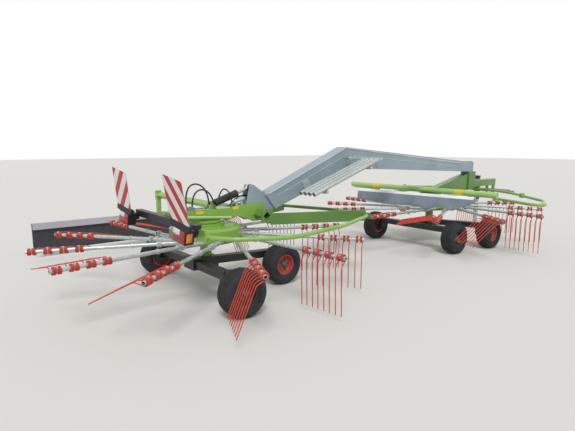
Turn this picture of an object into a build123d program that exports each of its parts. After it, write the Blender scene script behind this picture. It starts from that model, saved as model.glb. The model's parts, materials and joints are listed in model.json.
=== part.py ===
from build123d import *
from math import atan2, degrees
import os

# Two-rotor trailed rotary rake, parked with its rotors down.
# Millimetres. X points forward, Y to the left, Z up; the ground is Z = 0.
# Places are measured from the ground under the rear rotor's axis, and the whole
# machine is moved at the end so that its origin is the middle of its footprint.

# Rotors
FRONT_ROTOR_X = 4150.0
FRONT_ROTOR_Y = 0.0
ROTOR_ARMS = 12
ARM_STEP = 360.0 / ROTOR_ARMS
# Each arm runs beside the axis at ARM_OFFSET; the _L values lie along it.
ARM_OFFSET = 280.0
ARM_ROOT_L = 110.0
ARM_JOINT_L = 507.0
ARM_TIP_L = 1677.0
ARM_HUB_Z = 600.0
ARM_DROOP = 0.4
ARM_INNER_D = 46.0
ARM_OUTER_D = 38.0
ARM_BORE_D = 28.0
ARM_BORE_L = 30.0
CLAMP_D = 70.0
CLAMP_L = 46.0
COLLAR_L = 726.0
COLLAR_D = 52.0
COLLAR_W = 16.0
TUBE_SIDES = 6
ARM_SEAT_GAP = 0.4

# Spring tines: each double tine is a coil pair with two rods
TINE_PAIRS = 4
TINE_PITCH = 136.0
TINE_END_L = 46.0
TINE_FIRST_L = ARM_TIP_L - TINE_END_L - (TINE_PAIRS - 1) * TINE_PITCH
COIL_D = 70.0
COIL_L = 28.0
COIL_GAP = 20.0
ROD_SIDE = 9.0
ROD_START_Y = 25.0
ROD_KNEE_Y = -35.0
ROD_KNEE_Z = -85.0
ROD_TIP_Y = -20.0
TINE_REACH = 530.0

# Bell (turning drum) and the still column in it
BELL_R = 380.0
BELL_RING_R = 345.0
BELL_LOW_Z = 560.0
BELL_SKIRT_Z = 600.0
BELL_EDGE_Z = 700.0
BELL_SHOULDER_R = 352.0
BELL_SHOULDER_Z = 725.0
BELL_TOP_Z = 755.0
BELL_NECK_R = 205.0
COLUMN_R = 60.0
BEARING_GAP = 0.08
BELL_HEADROOM = 6.0
GEARBOX_R = 165.0
GEARBOX_TOP_Z = 785.0

# Wheels
TYRE_R = 228.5
TYRE_W = 212.0
RIM_R = 112.0
RIM_W = 150.0
RIM_WALL = 9.0
TYRE_TREAD_W = 108.0
TYRE_CROWN = 14.0
TYRE_CROWN_W = 168.0
TYRE_BULGE = 62.0
TYRE_BEAD = 40.0
HUB_R = 42.0
HUB_W = 96.0
AXLE_R = 17.5
AXLE_GAP = 0.05
WHEEL_Z = TYRE_R

# Chassis under each rotor
BEAM_H = 80.0
BEAM_W = 100.0
BEAM_Z = 330.0
REAR_AXLE_X = -140.0
REAR_TRACK = 1840.0
KINGPIN_INSET = 170.0
KINGPIN_Y = REAR_TRACK / 2 - KINGPIN_INSET
KINGPIN_R = 18.0
KINGPIN_GAP = 0.05
KNUCKLE_H = 70.0
KNUCKLE_R = 38.0
KNUCKLE_ARM_W = 60.0
KNUCKLE_ARM_T = 40.0
KNUCKLE_BACK = 100.0
KNUCKLE_STEP = 5.0
KNUCKLE_BOSS = 54.0
FORK_T = 20.0
FORK_GAP = 6.0
FORK_W = 80.0
FORK_L = 120.0
FORK_BACK = 24.0
AXLE_END = 14.0
HOUSING_BACK = 60.0
POST_L = 90.0
POST_W = 50.0
POST_CLEAR = 45.0
NOSE_CLEAR = 70.0
NOSE_ROOT_X = 60.0
HOUSING_H = 120.0
HOUSING_L = 300.0
HOUSING_W = 220.0
NOSE_WHEEL_X = 800.0
NOSE_WHEEL_Y = -310.0
FRONT_AXLE_BACK = -455.0
FRONT_TRACK = 1480.0
FRONT_NOSE_AHEAD = 310.0
FRONT_NOSE_Y = -870.0

# Carrier over the rear rotor, its boom hinge and the lifting cylinder
CARRIER_W = 172.0
CARRIER_H = 110.0
CARRIER_REAR_X = -420.0
CARRIER_FRONT_X = 330.0
CARRIER_Z = GEARBOX_TOP_Z
CHEEK_REAR_X = 230.0
CHEEK_FRONT_X = 715.0
CHEEK_TOP_Z = 915.0
CHEEK_LOW_Z = 716.0
HINGE_X = 667.0
HINGE_Z = 858.0
HINGE_PIN_R = 18.0
HINGE_GAP = 0.05
CHEEK_STEP = 4.0
CHEEK_RIM = 70.0
LIFT_LUG_GAP = 6.0
LIFT_LUG_HEAD = 24.0
LIFT_LUG_NOSE = 18.0
LIFT_LUG_FOOT = 60.0
CHEEK_T = 20.0
HORN_T = 18.0
HORN_GAP = 3.0
LIFT_EYE_X = 574.0
LIFT_EYE_Z = 1095.0
LIFT_REAR_X = 80.0
LIFT_REAR_Z = 935.0
LIFT_REAR_EYE_R = 28.0
LIFT_BARREL_START = 40.0
LIFT_BARREL_R = 40.0
LIFT_BARREL_L = 300.0
LIFT_ROD_R = 18.0
LIFT_EYE_R = 40.0
LIFT_EYE_BORE_R = 27.0
LIFT_EYE_W = 40.0
LIFT_PIN_R = 10.0
LIFT_PIN_GAP = 0.05
LUG_PLATE_T = 14.0

# Boom
BOOM_W = 170.0
BOOM_REAR_TOP_X = 750.0
BOOM_REAR_TOP_Z = 1004.0
BOOM_REAR_LOW_X = 888.0
BOOM_REAR_LOW_Z = 830.0
BOOM_CRANK_TOP_X = 2060.0
BOOM_CRANK_TOP_Z = 1550.0
BOOM_CRANK_LOW_X = 2120.0
BOOM_CRANK_LOW_Z = 1270.0
BOOM_FRONT_TOP_Z = 1285.0

# Headstock at the front, where the tractor couples
PIVOT_X = 5300.0
PIVOT_PIN_R = 35.0
PIVOT_EYE_R = 78.0
PIVOT_GAP = 0.06
PIVOT_SEAT = 0.3
PIVOT_CAP_R = 58.0
PIVOT_CAP_T = 14.0
HEAD_W = 160.0
HEAD_TOP_Z = 1120.0
HEAD_LOW_Z = 800.0
HEAD_REAR_X = 5190.0
HEAD_FRONT_X = 5410.0
DRAW_BEAM_LOW_Z = 840.0
DRAW_BEAM_H = 120.0
DRAW_BEAM_FRONT_X = 6155.0
SADDLE_T = 30.0
SADDLE_X = 4000.0
SADDLE_L = 300.0
SADDLE_HALF_W = 110.0
GUSSET_HALF_W = 60.0
GUSSET_X = 4210.0
GUSSET_H = 70.0
FRONT_RAIL = [
    (4971.0, -1110.0),
    (5235.0, -790.0),
    (5557.0, -200.0),
    (5557.0, 200.0),
    (5235.0, 790.0),
    (4971.0, 1110.0),
]
FRONT_RAIL_BEND = 220.0
LINK_X = 6120.0
LINK_Z = 740.0
LINK_SPAN = 825.0
LINK_PIN_R = 14.2
LINK_PIN_L = 90.0
LINK_SHAFT_R = 32.0
LINK_PLATE_T = 20.0
LINK_PLATE_Y = 60.0
LINK_PLATE_L = 75.0
LINK_PLATE_DROP = 45.0
JACK_LUG_H = 100.0
JACK_LUG_L = 60.0
RAIL_LUG_L = 60.0
RAIL_LUG_W = 100.0
INPUT_R = 17.5
INPUT_L = 90.0
INPUT_Z = 900.0

# Parking jack
JACK_X = 6010.0
JACK_Y = 205.0
JACK_SLEEVE = 80.0
JACK_WALL = 8.0
JACK_GAP = 0.3
JACK_FOOT = 180.0
JACK_FOOT_T = 10.0
JACK_SLEEVE_LOW_Z = 560.0
JACK_TOP_Z = 1010.0
JACK_LEG_TOP_Z = 900.0

# Guard hoops and what they swing on
GUARD_D = 42.0
GUARD_Z = 800.0
REAR_GUARD_Z = 750.0
EYE_R = 26.0
EYE_L = 40.0
EYE_PIN_R = 10.0
EYE_GAP = 0.05
EYE_SIDE_GAP = 8.0
EYE_ENTRY = 10.0
EYE_PIN_END = 6.0
LUG_T = 14.0
LUG_SIDE = 70.0
REAR_HOOP_Y = -780.0
REAR_HOOP_REAR_X = -408.0
REAR_HOOP_FRONT_X = 1690.0
FRONT_HOOP_Y = 1110.0
FRONT_HOOP_REAR_X = 4180.0
FRONT_HOOP_FRONT_X = 4928.0
CROSS_D = 90.0
CROSS_X = 4080.0
CROSS_Z = 860.0
CROSS_LEFT_Y = 1650.0
CROSS_RIGHT_Y = -1150.0
CROSS_LUG = 50.0
CROSS_LUG_BACK = 5.0
ARM_PLATE_T = 14.0
ARM_PLATE_H = 130.0
RAIL_LEFT_X = 1540.0
RAIL_LEFT_Y = 580.0
RAIL_CORNER_X = 1790.0
RAIL_CORNER_Y = -170.0
RAIL_BEND = 400.0
FLANGE_T = 14.0
FLANGE_SIDE = 150.0

# Telescopic curtain carrier and rear curtain
SLIDE_X = 630.0
SLIDE_Z = 790.0
SLEEVE_SIDE = 84.0
SLEEVE_WALL = 7.0
SLEEVE_RIGHT_Y = -270.0
SLEEVE_LEFT_Y = 1000.0
SLIDE_GAP = 0.3
SLIDE_TAIL_Y = 420.0
CURTAIN_Y = 2750.0
CURTAIN_REAR_X = -1200.0
CURTAIN_FRONT_X = 1300.0
CURTAIN_LOW_Z = 100.0
CURTAIN_TOP_Z = 500.0
CURTAIN_T = 8.0
CURTAIN_BAR_T = 30.0
CURTAIN_BAR_H = 90.0
CURTAIN_BAR_INSET = 10.0
DROP_SIDE = 60.0
DROP_RISE = 60.0
DROP_BOX_WALL = 8.0
DROP_BOX_HALF_H = 70.0

# Front curtain, folded over the rear of the front rotor
FOLD_X = 3480.0
FOLD_Z = 838.0
FOLD_L = 1950.0
FOLD_Y = -130.0
FOLD_YAW = 5.4
FOLD_RAIL_R = 15.0
FOLD_TOP_W = 62.0
FOLD_DROP = 132.0
FOLD_T = 6.0
FOLD_GAP = 0.3
FOLD_ARM = 28.0
FOLD_ARM_YS = [-600.0, 300.0]

# Warning boards and lamps
LIGHT_BAR_W = 70.0
LIGHT_BAR_H = 70.0
LIGHT_BAR_Z = 825.0
LIGHT_BAR_HALF = 700.0
BOARD_W = 282.0
BOARD_H = 423.0
BOARD_T = 3.0
BOARD_BACK = 100.0
BOARD_STRIP_T = 8.0
BOARD_STRIP_W = 40.0
BOARD_STRIP_SHORT = 30.0
HOLDER_T = 30.0
HOLDER_H = 60.0
LAMP_X = -539.0
LAMP_Z = 785.0
LAMP_W = 190.0
LAMP_H = 130.0
LAMP_D = 95.0
LAMP_YAW = 9.7
LAMP_ROLL = 11.8
LENS_T = 6.0
LENS_EDGE = 8.0
BRACKET_HALF_W = 40.0
BRACKET_HALF_H = 30.0
BRACKET_T = 8.0
BRACKET_L = 70.0

# Tube rack on the boom's right side
RACK_TUBES = 4
RACK_PITCH = 80.0
RACK_D = 50.0
RACK_BORE = 40.0
RACK_REAR_X = 1200.0
RACK_REAR_Z = 1000.0
RACK_FRONT_X = 2300.0
RACK_FRONT_Z = 1380.0
RACK_FIRST_Y = -175.0
RACK_REST_H = 30.0
RACK_REST_W = 40.0
RACK_REST_SHARES = [0.16, 0.86]
RACK_PLATE_L = 110.0
RACK_PLATE_H = 150.0
RACK_PLATE_T = 12.0
RACK_END = 30.0

# Drive shaft guard along the boom's left side
SHAFT_R = 40.0
SHAFT_Y = 140.0
SHAFT_GAP = 0.3
SHAFT_REAR_X = 840.0
SHAFT_REAR_Z = 930.0
SHAFT_FRONT_X = 2060.0
SHAFT_FRONT_Z = 1400.0
BEARING_XS = [960.0, 1960.0]
BEARING_T = 30.0
BEARING_WALL = 15.0

COLUMN_LOW_Z = BEAM_Z + HOUSING_H / 2
GEARBOX_LOW_Z = BELL_TOP_Z + BELL_HEADROOM
CARRIER_TOP_Z = CARRIER_Z + CARRIER_H
LIGHT_BAR_X = CARRIER_REAR_X - LIGHT_BAR_W / 2
LIGHT_BAR_TOP_Z = LIGHT_BAR_Z + LIGHT_BAR_H / 2
ARM_SEAT_R = ARM_INNER_D / 2 + ARM_SEAT_GAP

pieces = []


def finish(piece, name):
    """Label a finished piece and keep it for export."""
    piece.part.label = name
    pieces.append(piece.part)


def bar(start, end, radius, sides=0):
    """A straight bar between two points, round or with flat sides."""
    span = Vector(*end) - Vector(*start)
    with BuildPart(mode=Mode.PRIVATE) as run:
        with BuildSketch(Plane(origin=start, z_dir=span)):
            if sides:
                RegularPolygon(radius, sides, major_radius=False)
            else:
                Circle(radius)
        extrude(amount=span.length)
    return run.part


def box_bar(start, end, width, height):
    """A box-section bar between two points, its width level."""
    span = Vector(*end) - Vector(*start)
    level = Vector(-span.Y, span.X, 0)
    with BuildPart(mode=Mode.PRIVATE) as run:
        with BuildSketch(Plane(origin=start, x_dir=level, z_dir=span)):
            Rectangle(width, height)
        extrude(amount=span.length)
    return run.part


def block(low, high):
    """A box between two opposite corners."""
    size = [high[axis] - low[axis] for axis in range(3)]
    middle = [(high[axis] + low[axis]) / 2 for axis in range(3)]
    with BuildPart(mode=Mode.PRIVATE) as body:
        with Locations(tuple(middle)):
            Box(*size)
    return body.part


def hoop(points, radii, diameter):
    """A bent tube through points, with a bend radius at each corner."""
    with BuildPart(mode=Mode.PRIVATE) as run:
        with BuildLine():
            path = FilletPolyline(*points, radius=radii)
        with BuildSketch(Plane(origin=path @ 0, z_dir=path % 0)):
            Circle(diameter / 2)
        sweep()
    return run.part


# One tine arm, lying along X with its tines hanging, to be turned and placed.
with BuildPart() as tine_arm:
    add(bar((ARM_ROOT_L, 0, 0), (ARM_JOINT_L, 0, 0), ARM_INNER_D / 2, TUBE_SIDES))
    add(bar((ARM_JOINT_L, 0, 0), (ARM_TIP_L, 0, 0), ARM_OUTER_D / 2, TUBE_SIDES))
    add(bar((ARM_JOINT_L - CLAMP_L, 0, 0), (ARM_JOINT_L, 0, 0), CLAMP_D / 2, TUBE_SIDES))
    add(bar((COLLAR_L, 0, 0), (COLLAR_L + COLLAR_W, 0, 0), COLLAR_D / 2, TUBE_SIDES))
    for pair in range(TINE_PAIRS):
        pair_l = TINE_FIRST_L + pair * TINE_PITCH
        for side in (-1, 1):
            coil_l = pair_l + side * (COIL_GAP + COIL_L) / 2
            add(bar(
                (coil_l - COIL_L / 2, 0, 0), (coil_l + COIL_L / 2, 0, 0), COIL_D / 2, TUBE_SIDES,
            ))
            with BuildLine():
                rod = Polyline(
                    (coil_l, ROD_START_Y, 0),
                    (coil_l, ROD_KNEE_Y, ROD_KNEE_Z),
                    (coil_l, ROD_TIP_Y, -TINE_REACH),
                )
            with BuildSketch(Plane(origin=rod @ 0, x_dir=(1, 0, 0), z_dir=rod % 0)):
                Rectangle(ROD_SIDE, ROD_SIDE)
            sweep(transition=Transition.RIGHT)
    add(
        bar((ARM_TIP_L - ARM_BORE_L, 0, 0), (ARM_TIP_L + 1, 0, 0), ARM_BORE_D / 2, TUBE_SIDES),
        mode=Mode.SUBTRACT,
    )

# Each rotor's first bearing, in degrees from +X towards +Y, and how far the control
# shaft of each arm has turned its tines from hanging towards trailing, in degrees.
REAR_FIRST_BEARING = 126.7
REAR_TWISTS = [78, 78, 79, 65, 23, 0, 0, 0, 0, 20, 60, 78]
FRONT_FIRST_BEARING = 87.3
FRONT_TWISTS = [78, 78, 78, 78, 80, 48, 0, 0, 0, 0, 12, 50]


def arm_places(x, y, first_bearing, twists):
    """Where each arm of a rotor stands, its shaft turned by its twist."""
    places = []
    for count, twist in enumerate(twists):
        bearing = first_bearing + count * ARM_STEP
        hub = Location((x, y, ARM_HUB_Z), (0, 0, bearing))
        root = Location((0, ARM_OFFSET, 0), (0, ARM_DROOP, 0))
        places.append(hub * root * Location((0, 0, 0), (-twist, 0, 0)))
    return places


arm_seat = bar((ARM_ROOT_L - ARM_SEAT_GAP, 0, 0), (BELL_R, 0, 0), ARM_SEAT_R, TUBE_SIDES)

# Arms and bell of each rotor
# name, centre x, centre y, first bearing, twists
ROTORS = [
    ("rear", 0.0, 0.0, REAR_FIRST_BEARING, REAR_TWISTS),
    ("front", FRONT_ROTOR_X, FRONT_ROTOR_Y, FRONT_FIRST_BEARING, FRONT_TWISTS),
]
for name, x, y, first, twists in ROTORS:
    with BuildPart() as tine_arms:
        with Locations(*arm_places(x, y, first, twists)):
            add(tine_arm.part)
    finish(tine_arms, f"{name}_tine_arms")

    with BuildPart() as bell:
        with BuildSketch(Plane.XZ.move(Location((x, y, 0)))):
            with BuildLine():
                Polyline(
                    (COLUMN_R + BEARING_GAP, BELL_LOW_Z),
                    (BELL_RING_R, BELL_LOW_Z),
                    (BELL_RING_R, BELL_SKIRT_Z),
                    (BELL_R, BELL_SKIRT_Z),
                    (BELL_R, BELL_EDGE_Z),
                    (BELL_SHOULDER_R, BELL_SHOULDER_Z),
                    (BELL_NECK_R, BELL_SHOULDER_Z),
                    (BELL_NECK_R, BELL_TOP_Z),
                    (COLUMN_R + BEARING_GAP, BELL_TOP_Z),
                    close=True,
                )
            make_face()
        revolve(axis=Axis((x, y, 0), (0, 0, 1)))
        with Locations(*arm_places(x, y, first, twists)):
            add(arm_seat, mode=Mode.SUBTRACT)
    finish(bell, f"{name}_bell")

# Wheels: name, centre x, centre y
WHEELS = [
    ("rear_right", REAR_AXLE_X, -REAR_TRACK / 2),
    ("rear_left", REAR_AXLE_X, REAR_TRACK / 2),
    ("rear_nose", NOSE_WHEEL_X, NOSE_WHEEL_Y),
    ("front_right", FRONT_ROTOR_X + FRONT_AXLE_BACK, -FRONT_TRACK / 2),
    ("front_left", FRONT_ROTOR_X + FRONT_AXLE_BACK, FRONT_TRACK / 2),
    ("front_nose", FRONT_ROTOR_X + FRONT_NOSE_AHEAD, FRONT_NOSE_Y),
]


def spin_face(x, y, points):
    """Revolve a half-section, given as (across, out), about a wheel's axle."""
    axle = Axis((x, y, WHEEL_Z), (0, 1, 0))
    with BuildPart(mode=Mode.PRIVATE) as ring:
        with BuildSketch(Plane(origin=(x, y, WHEEL_Z), x_dir=(0, 1, 0), z_dir=(1, 0, 0))):
            with BuildLine():
                Polyline(*points, close=True)
            make_face()
        revolve(axis=axle)
    return ring.part


for name, x, y in WHEELS:
    half = TYRE_W / 2
    with BuildPart() as tyre:
        add(spin_face(x, y, [
            (-RIM_W / 2, RIM_R),
            (RIM_WALL - half, RIM_R + TYRE_BEAD),
            (-half, TYRE_R - TYRE_BULGE),
            (-TYRE_CROWN_W / 2, TYRE_R - TYRE_CROWN),
            (-TYRE_TREAD_W / 2, TYRE_R),
            (TYRE_TREAD_W / 2, TYRE_R),
            (TYRE_CROWN_W / 2, TYRE_R - TYRE_CROWN),
            (half, TYRE_R - TYRE_BULGE),
            (half - RIM_WALL, RIM_R + TYRE_BEAD),
            (RIM_W / 2, RIM_R),
        ]))
    finish(tyre, f"{name}_tyre")
    with BuildPart() as rim:
        add(spin_face(x, y, [
            (-RIM_W / 2, RIM_R - RIM_WALL),
            (-RIM_W / 2, RIM_R),
            (RIM_W / 2, RIM_R),
            (RIM_W / 2, RIM_R - RIM_WALL),
            (RIM_WALL / 2, RIM_R - 3 * RIM_WALL),
            (RIM_WALL / 2, HUB_R),
            (HUB_W / 2, HUB_R),
            (HUB_W / 2, AXLE_R + AXLE_GAP),
            (-HUB_W / 2, AXLE_R + AXLE_GAP),
            (-HUB_W / 2, HUB_R),
            (-RIM_WALL / 2, HUB_R),
            (-RIM_WALL / 2, RIM_R - 3 * RIM_WALL),
        ]))
    finish(rim, f"{name}_rim")


def axle_stub(x, y, inner_y):
    """A stub axle through a wheel's hub from the post beside it."""
    outward = 1 if y > inner_y else -1
    end_y = y + outward * (HUB_W / 2 + AXLE_END)
    return bar((x, inner_y, WHEEL_Z), (x, end_y, WHEEL_Z), AXLE_R)


def housing(x):
    """The block under a bell that carries the column and the beams."""
    with BuildPart(mode=Mode.PRIVATE) as block:
        with Locations((x - HOUSING_BACK, 0, BEAM_Z)):
            Box(HOUSING_L, HOUSING_W, HOUSING_H)
    return block.part


def drop_post(x, y):
    """A post at a beam's end that carries a stub axle."""
    with BuildPart(mode=Mode.PRIVATE) as post:
        with Locations((x, y, (BEAM_Z + WHEEL_Z) / 2)):
            Box(POST_L, POST_W, BEAM_Z - WHEEL_Z + BEAM_H)
    return post.part


# Rear rotor's chassis: cross beam with kingpins, nose beam with a fixed stub.
KINGPIN_HALF = KNUCKLE_H / 2 + FORK_GAP + FORK_T
with BuildPart() as rear_chassis:
    beam_end = KINGPIN_Y - FORK_L / 2
    add(box_bar((REAR_AXLE_X, -beam_end, BEAM_Z), (REAR_AXLE_X, beam_end, BEAM_Z), BEAM_W, BEAM_H))
    add(housing(0))
    post_y = NOSE_WHEEL_Y + TYRE_W / 2 + NOSE_CLEAR
    nose_root = (NOSE_ROOT_X, 0, BEAM_Z)
    add(box_bar(nose_root, (NOSE_WHEEL_X, post_y, BEAM_Z), BEAM_W, BEAM_H))
    add(drop_post(NOSE_WHEEL_X, post_y))
    add(axle_stub(NOSE_WHEEL_X, NOSE_WHEEL_Y, post_y))
    for side in (-1, 1):
        for level in (-1, 1):
            plate_z = BEAM_Z + level * (KINGPIN_HALF - FORK_T / 2)
            with Locations((REAR_AXLE_X, side * (KINGPIN_Y + KINGPIN_R + FORK_T - FORK_L / 2), plate_z)):
                Box(FORK_W, FORK_L, FORK_T)
        with Locations((REAR_AXLE_X, side * (beam_end - FORK_BACK / 3), BEAM_Z)):
            Box(FORK_W, FORK_BACK, 2 * KINGPIN_HALF)
        kingpin_y = side * KINGPIN_Y
        add(bar(
            (REAR_AXLE_X, kingpin_y, BEAM_Z - KINGPIN_HALF),
            (REAR_AXLE_X, kingpin_y, BEAM_Z + KINGPIN_HALF),
            KINGPIN_R,
        ))
finish(rear_chassis, "rear_chassis")

# Front rotor's chassis: a fixed rear axle and a nose beam.
with BuildPart() as front_chassis:
    axle_x = FRONT_ROTOR_X + FRONT_AXLE_BACK
    post_y = FRONT_TRACK / 2 - TYRE_W / 2 - POST_CLEAR
    add(box_bar((axle_x, -post_y, BEAM_Z), (axle_x, post_y, BEAM_Z), BEAM_W, BEAM_H))
    add(box_bar((axle_x, 0, BEAM_Z), (FRONT_ROTOR_X, 0, BEAM_Z), BEAM_W, BEAM_H))
    add(housing(FRONT_ROTOR_X))
    for side in (-1, 1):
        add(drop_post(axle_x, side * post_y))
        add(axle_stub(axle_x, side * FRONT_TRACK / 2, side * post_y))
    nose_x = FRONT_ROTOR_X + FRONT_NOSE_AHEAD
    nose_post_y = FRONT_NOSE_Y + TYRE_W / 2 + NOSE_CLEAR
    nose_root = (FRONT_ROTOR_X + NOSE_ROOT_X, 0, BEAM_Z)
    add(box_bar(nose_root, (nose_x, nose_post_y, BEAM_Z), BEAM_W, BEAM_H))
    add(drop_post(nose_x, nose_post_y))
    add(axle_stub(nose_x, FRONT_NOSE_Y, nose_post_y))
finish(front_chassis, "front_chassis")

# Steering knuckles: an eye on the kingpin, a drop arm and the stub axle.
for name, side in (("right", -1), ("left", 1)):
    king_y = side * KINGPIN_Y
    wheel_y = side * REAR_TRACK / 2
    with BuildPart() as knuckle:
        add(bar(
            (REAR_AXLE_X, king_y, BEAM_Z - KNUCKLE_H / 2),
            (REAR_AXLE_X, king_y, BEAM_Z + KNUCKLE_H / 2),
            KNUCKLE_R,
        ))
        back_x = REAR_AXLE_X - KNUCKLE_BACK
        arm_low = WHEEL_Z - KNUCKLE_H / 2 + KNUCKLE_STEP
        arm_top = BEAM_Z + KNUCKLE_H / 2 - KNUCKLE_STEP
        add(block(
            (back_x, king_y - KNUCKLE_ARM_W / 2, arm_top - KNUCKLE_H + 2 * KNUCKLE_STEP),
            (REAR_AXLE_X - KINGPIN_R, king_y + KNUCKLE_ARM_W / 2, arm_top),
        ))
        add(block(
            (back_x - KNUCKLE_ARM_T / 2, king_y - KNUCKLE_ARM_W / 2, arm_low),
            (back_x + KNUCKLE_ARM_T / 2, king_y + KNUCKLE_ARM_W / 2, arm_top),
        ))
        add(block(
            (back_x - KNUCKLE_ARM_T / 2, king_y - AXLE_R - KNUCKLE_STEP, WHEEL_Z - KNUCKLE_BOSS / 2),
            (REAR_AXLE_X + AXLE_R, king_y + AXLE_R + KNUCKLE_STEP, WHEEL_Z + KNUCKLE_BOSS / 2),
        ))
        add(axle_stub(REAR_AXLE_X, wheel_y, king_y))
        add(bar(
            (REAR_AXLE_X, king_y, BEAM_Z - KNUCKLE_H),
            (REAR_AXLE_X, king_y, BEAM_Z + KNUCKLE_H),
            KINGPIN_R + KINGPIN_GAP,
        ), mode=Mode.SUBTRACT)
    finish(knuckle, f"rear_knuckle_{name}")


def column(x, y):
    """Still column inside a bell, with the gearbox on its top."""
    with BuildPart(mode=Mode.PRIVATE) as post:
        with BuildSketch(Plane.XY.offset(COLUMN_LOW_Z)):
            with Locations((x, y)):
                Circle(COLUMN_R)
        extrude(amount=GEARBOX_LOW_Z - COLUMN_LOW_Z)
        with BuildSketch(Plane.XY.offset(GEARBOX_LOW_Z)):
            with Locations((x, y)):
                Circle(GEARBOX_R)
        extrude(amount=GEARBOX_TOP_Z - GEARBOX_LOW_Z)
    return post.part


for name, x, y, first, twists in ROTORS:
    with BuildPart() as gearbox:
        add(column(x, y))
    finish(gearbox, f"{name}_gearbox")


def plate(points, low_y, high_y):
    """A plate with an outline of (x, z) points, between two y values."""
    with BuildPart(mode=Mode.PRIVATE) as body:
        with BuildSketch(Plane.XZ.offset(-high_y)):
            with BuildLine():
                Polyline(*points, close=True)
            make_face()
        extrude(amount=high_y - low_y)
    return body.part


def square_run(x, z, low_y, high_y, side):
    """A square bar along Y that stands on its edge, as a diamond."""
    with BuildPart(mode=Mode.PRIVATE) as body:
        with BuildSketch(Plane.XZ.offset(-high_y)):
            with Locations(Location((x, z, 0), (0, 0, 45))):
                Rectangle(side, side)
        extrude(amount=high_y - low_y)
    return body.part


# Rear carrier: box over the gearbox, and the cheeks of the boom's hinge, which
# the curtain's sleeve passes through.
half_w = CARRIER_W / 2
lift_lug_half = LIFT_EYE_W / 2 + LUG_PLATE_T + LIFT_LUG_GAP
with BuildPart() as rear_carrier:
    add(block((CARRIER_REAR_X, -half_w, CARRIER_Z), (CARRIER_FRONT_X, half_w, CARRIER_TOP_Z)))
    cheek = [
        (CHEEK_REAR_X, CARRIER_Z + CHEEK_STEP),
        (CHEEK_REAR_X, CARRIER_TOP_Z - CHEEK_STEP),
        (CARRIER_FRONT_X + CHEEK_RIM, CHEEK_TOP_Z),
        (CHEEK_FRONT_X, CHEEK_TOP_Z),
        (CHEEK_FRONT_X, CARRIER_Z),
        (SLIDE_X + SLEEVE_SIDE * 0.7, CHEEK_LOW_Z),
        (SLIDE_X - CHEEK_RIM, CHEEK_LOW_Z),
        (CARRIER_FRONT_X + CHEEK_RIM, CARRIER_Z + CHEEK_STEP),
    ]
    add(plate(cheek, half_w - CHEEK_T, half_w))
    add(plate(cheek, -half_w, -half_w + CHEEK_T))
    add(bar((HINGE_X, -half_w, HINGE_Z), (HINGE_X, half_w, HINGE_Z), HINGE_PIN_R))
    add(square_run(SLIDE_X, SLIDE_Z, -CARRIER_W, CARRIER_W, SLEEVE_SIDE), mode=Mode.SUBTRACT)
    lug = [
        (LIFT_REAR_X - LIFT_LUG_FOOT, CARRIER_TOP_Z),
        (LIFT_REAR_X - LIFT_LUG_NOSE, LIFT_REAR_Z + LIFT_LUG_HEAD),
        (LIFT_REAR_X + LIFT_LUG_NOSE, LIFT_REAR_Z + LIFT_LUG_HEAD),
        (LIFT_REAR_X + LIFT_LUG_NOSE, CARRIER_TOP_Z),
    ]
    add(plate(lug, lift_lug_half - LUG_PLATE_T, lift_lug_half))
    add(plate(lug, -lift_lug_half, -lift_lug_half + LUG_PLATE_T))
    add(bar(
        (LIFT_REAR_X, -lift_lug_half, LIFT_REAR_Z),
        (LIFT_REAR_X, lift_lug_half, LIFT_REAR_Z),
        LIFT_PIN_R,
    ))
finish(rear_carrier, "rear_carrier")

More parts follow.
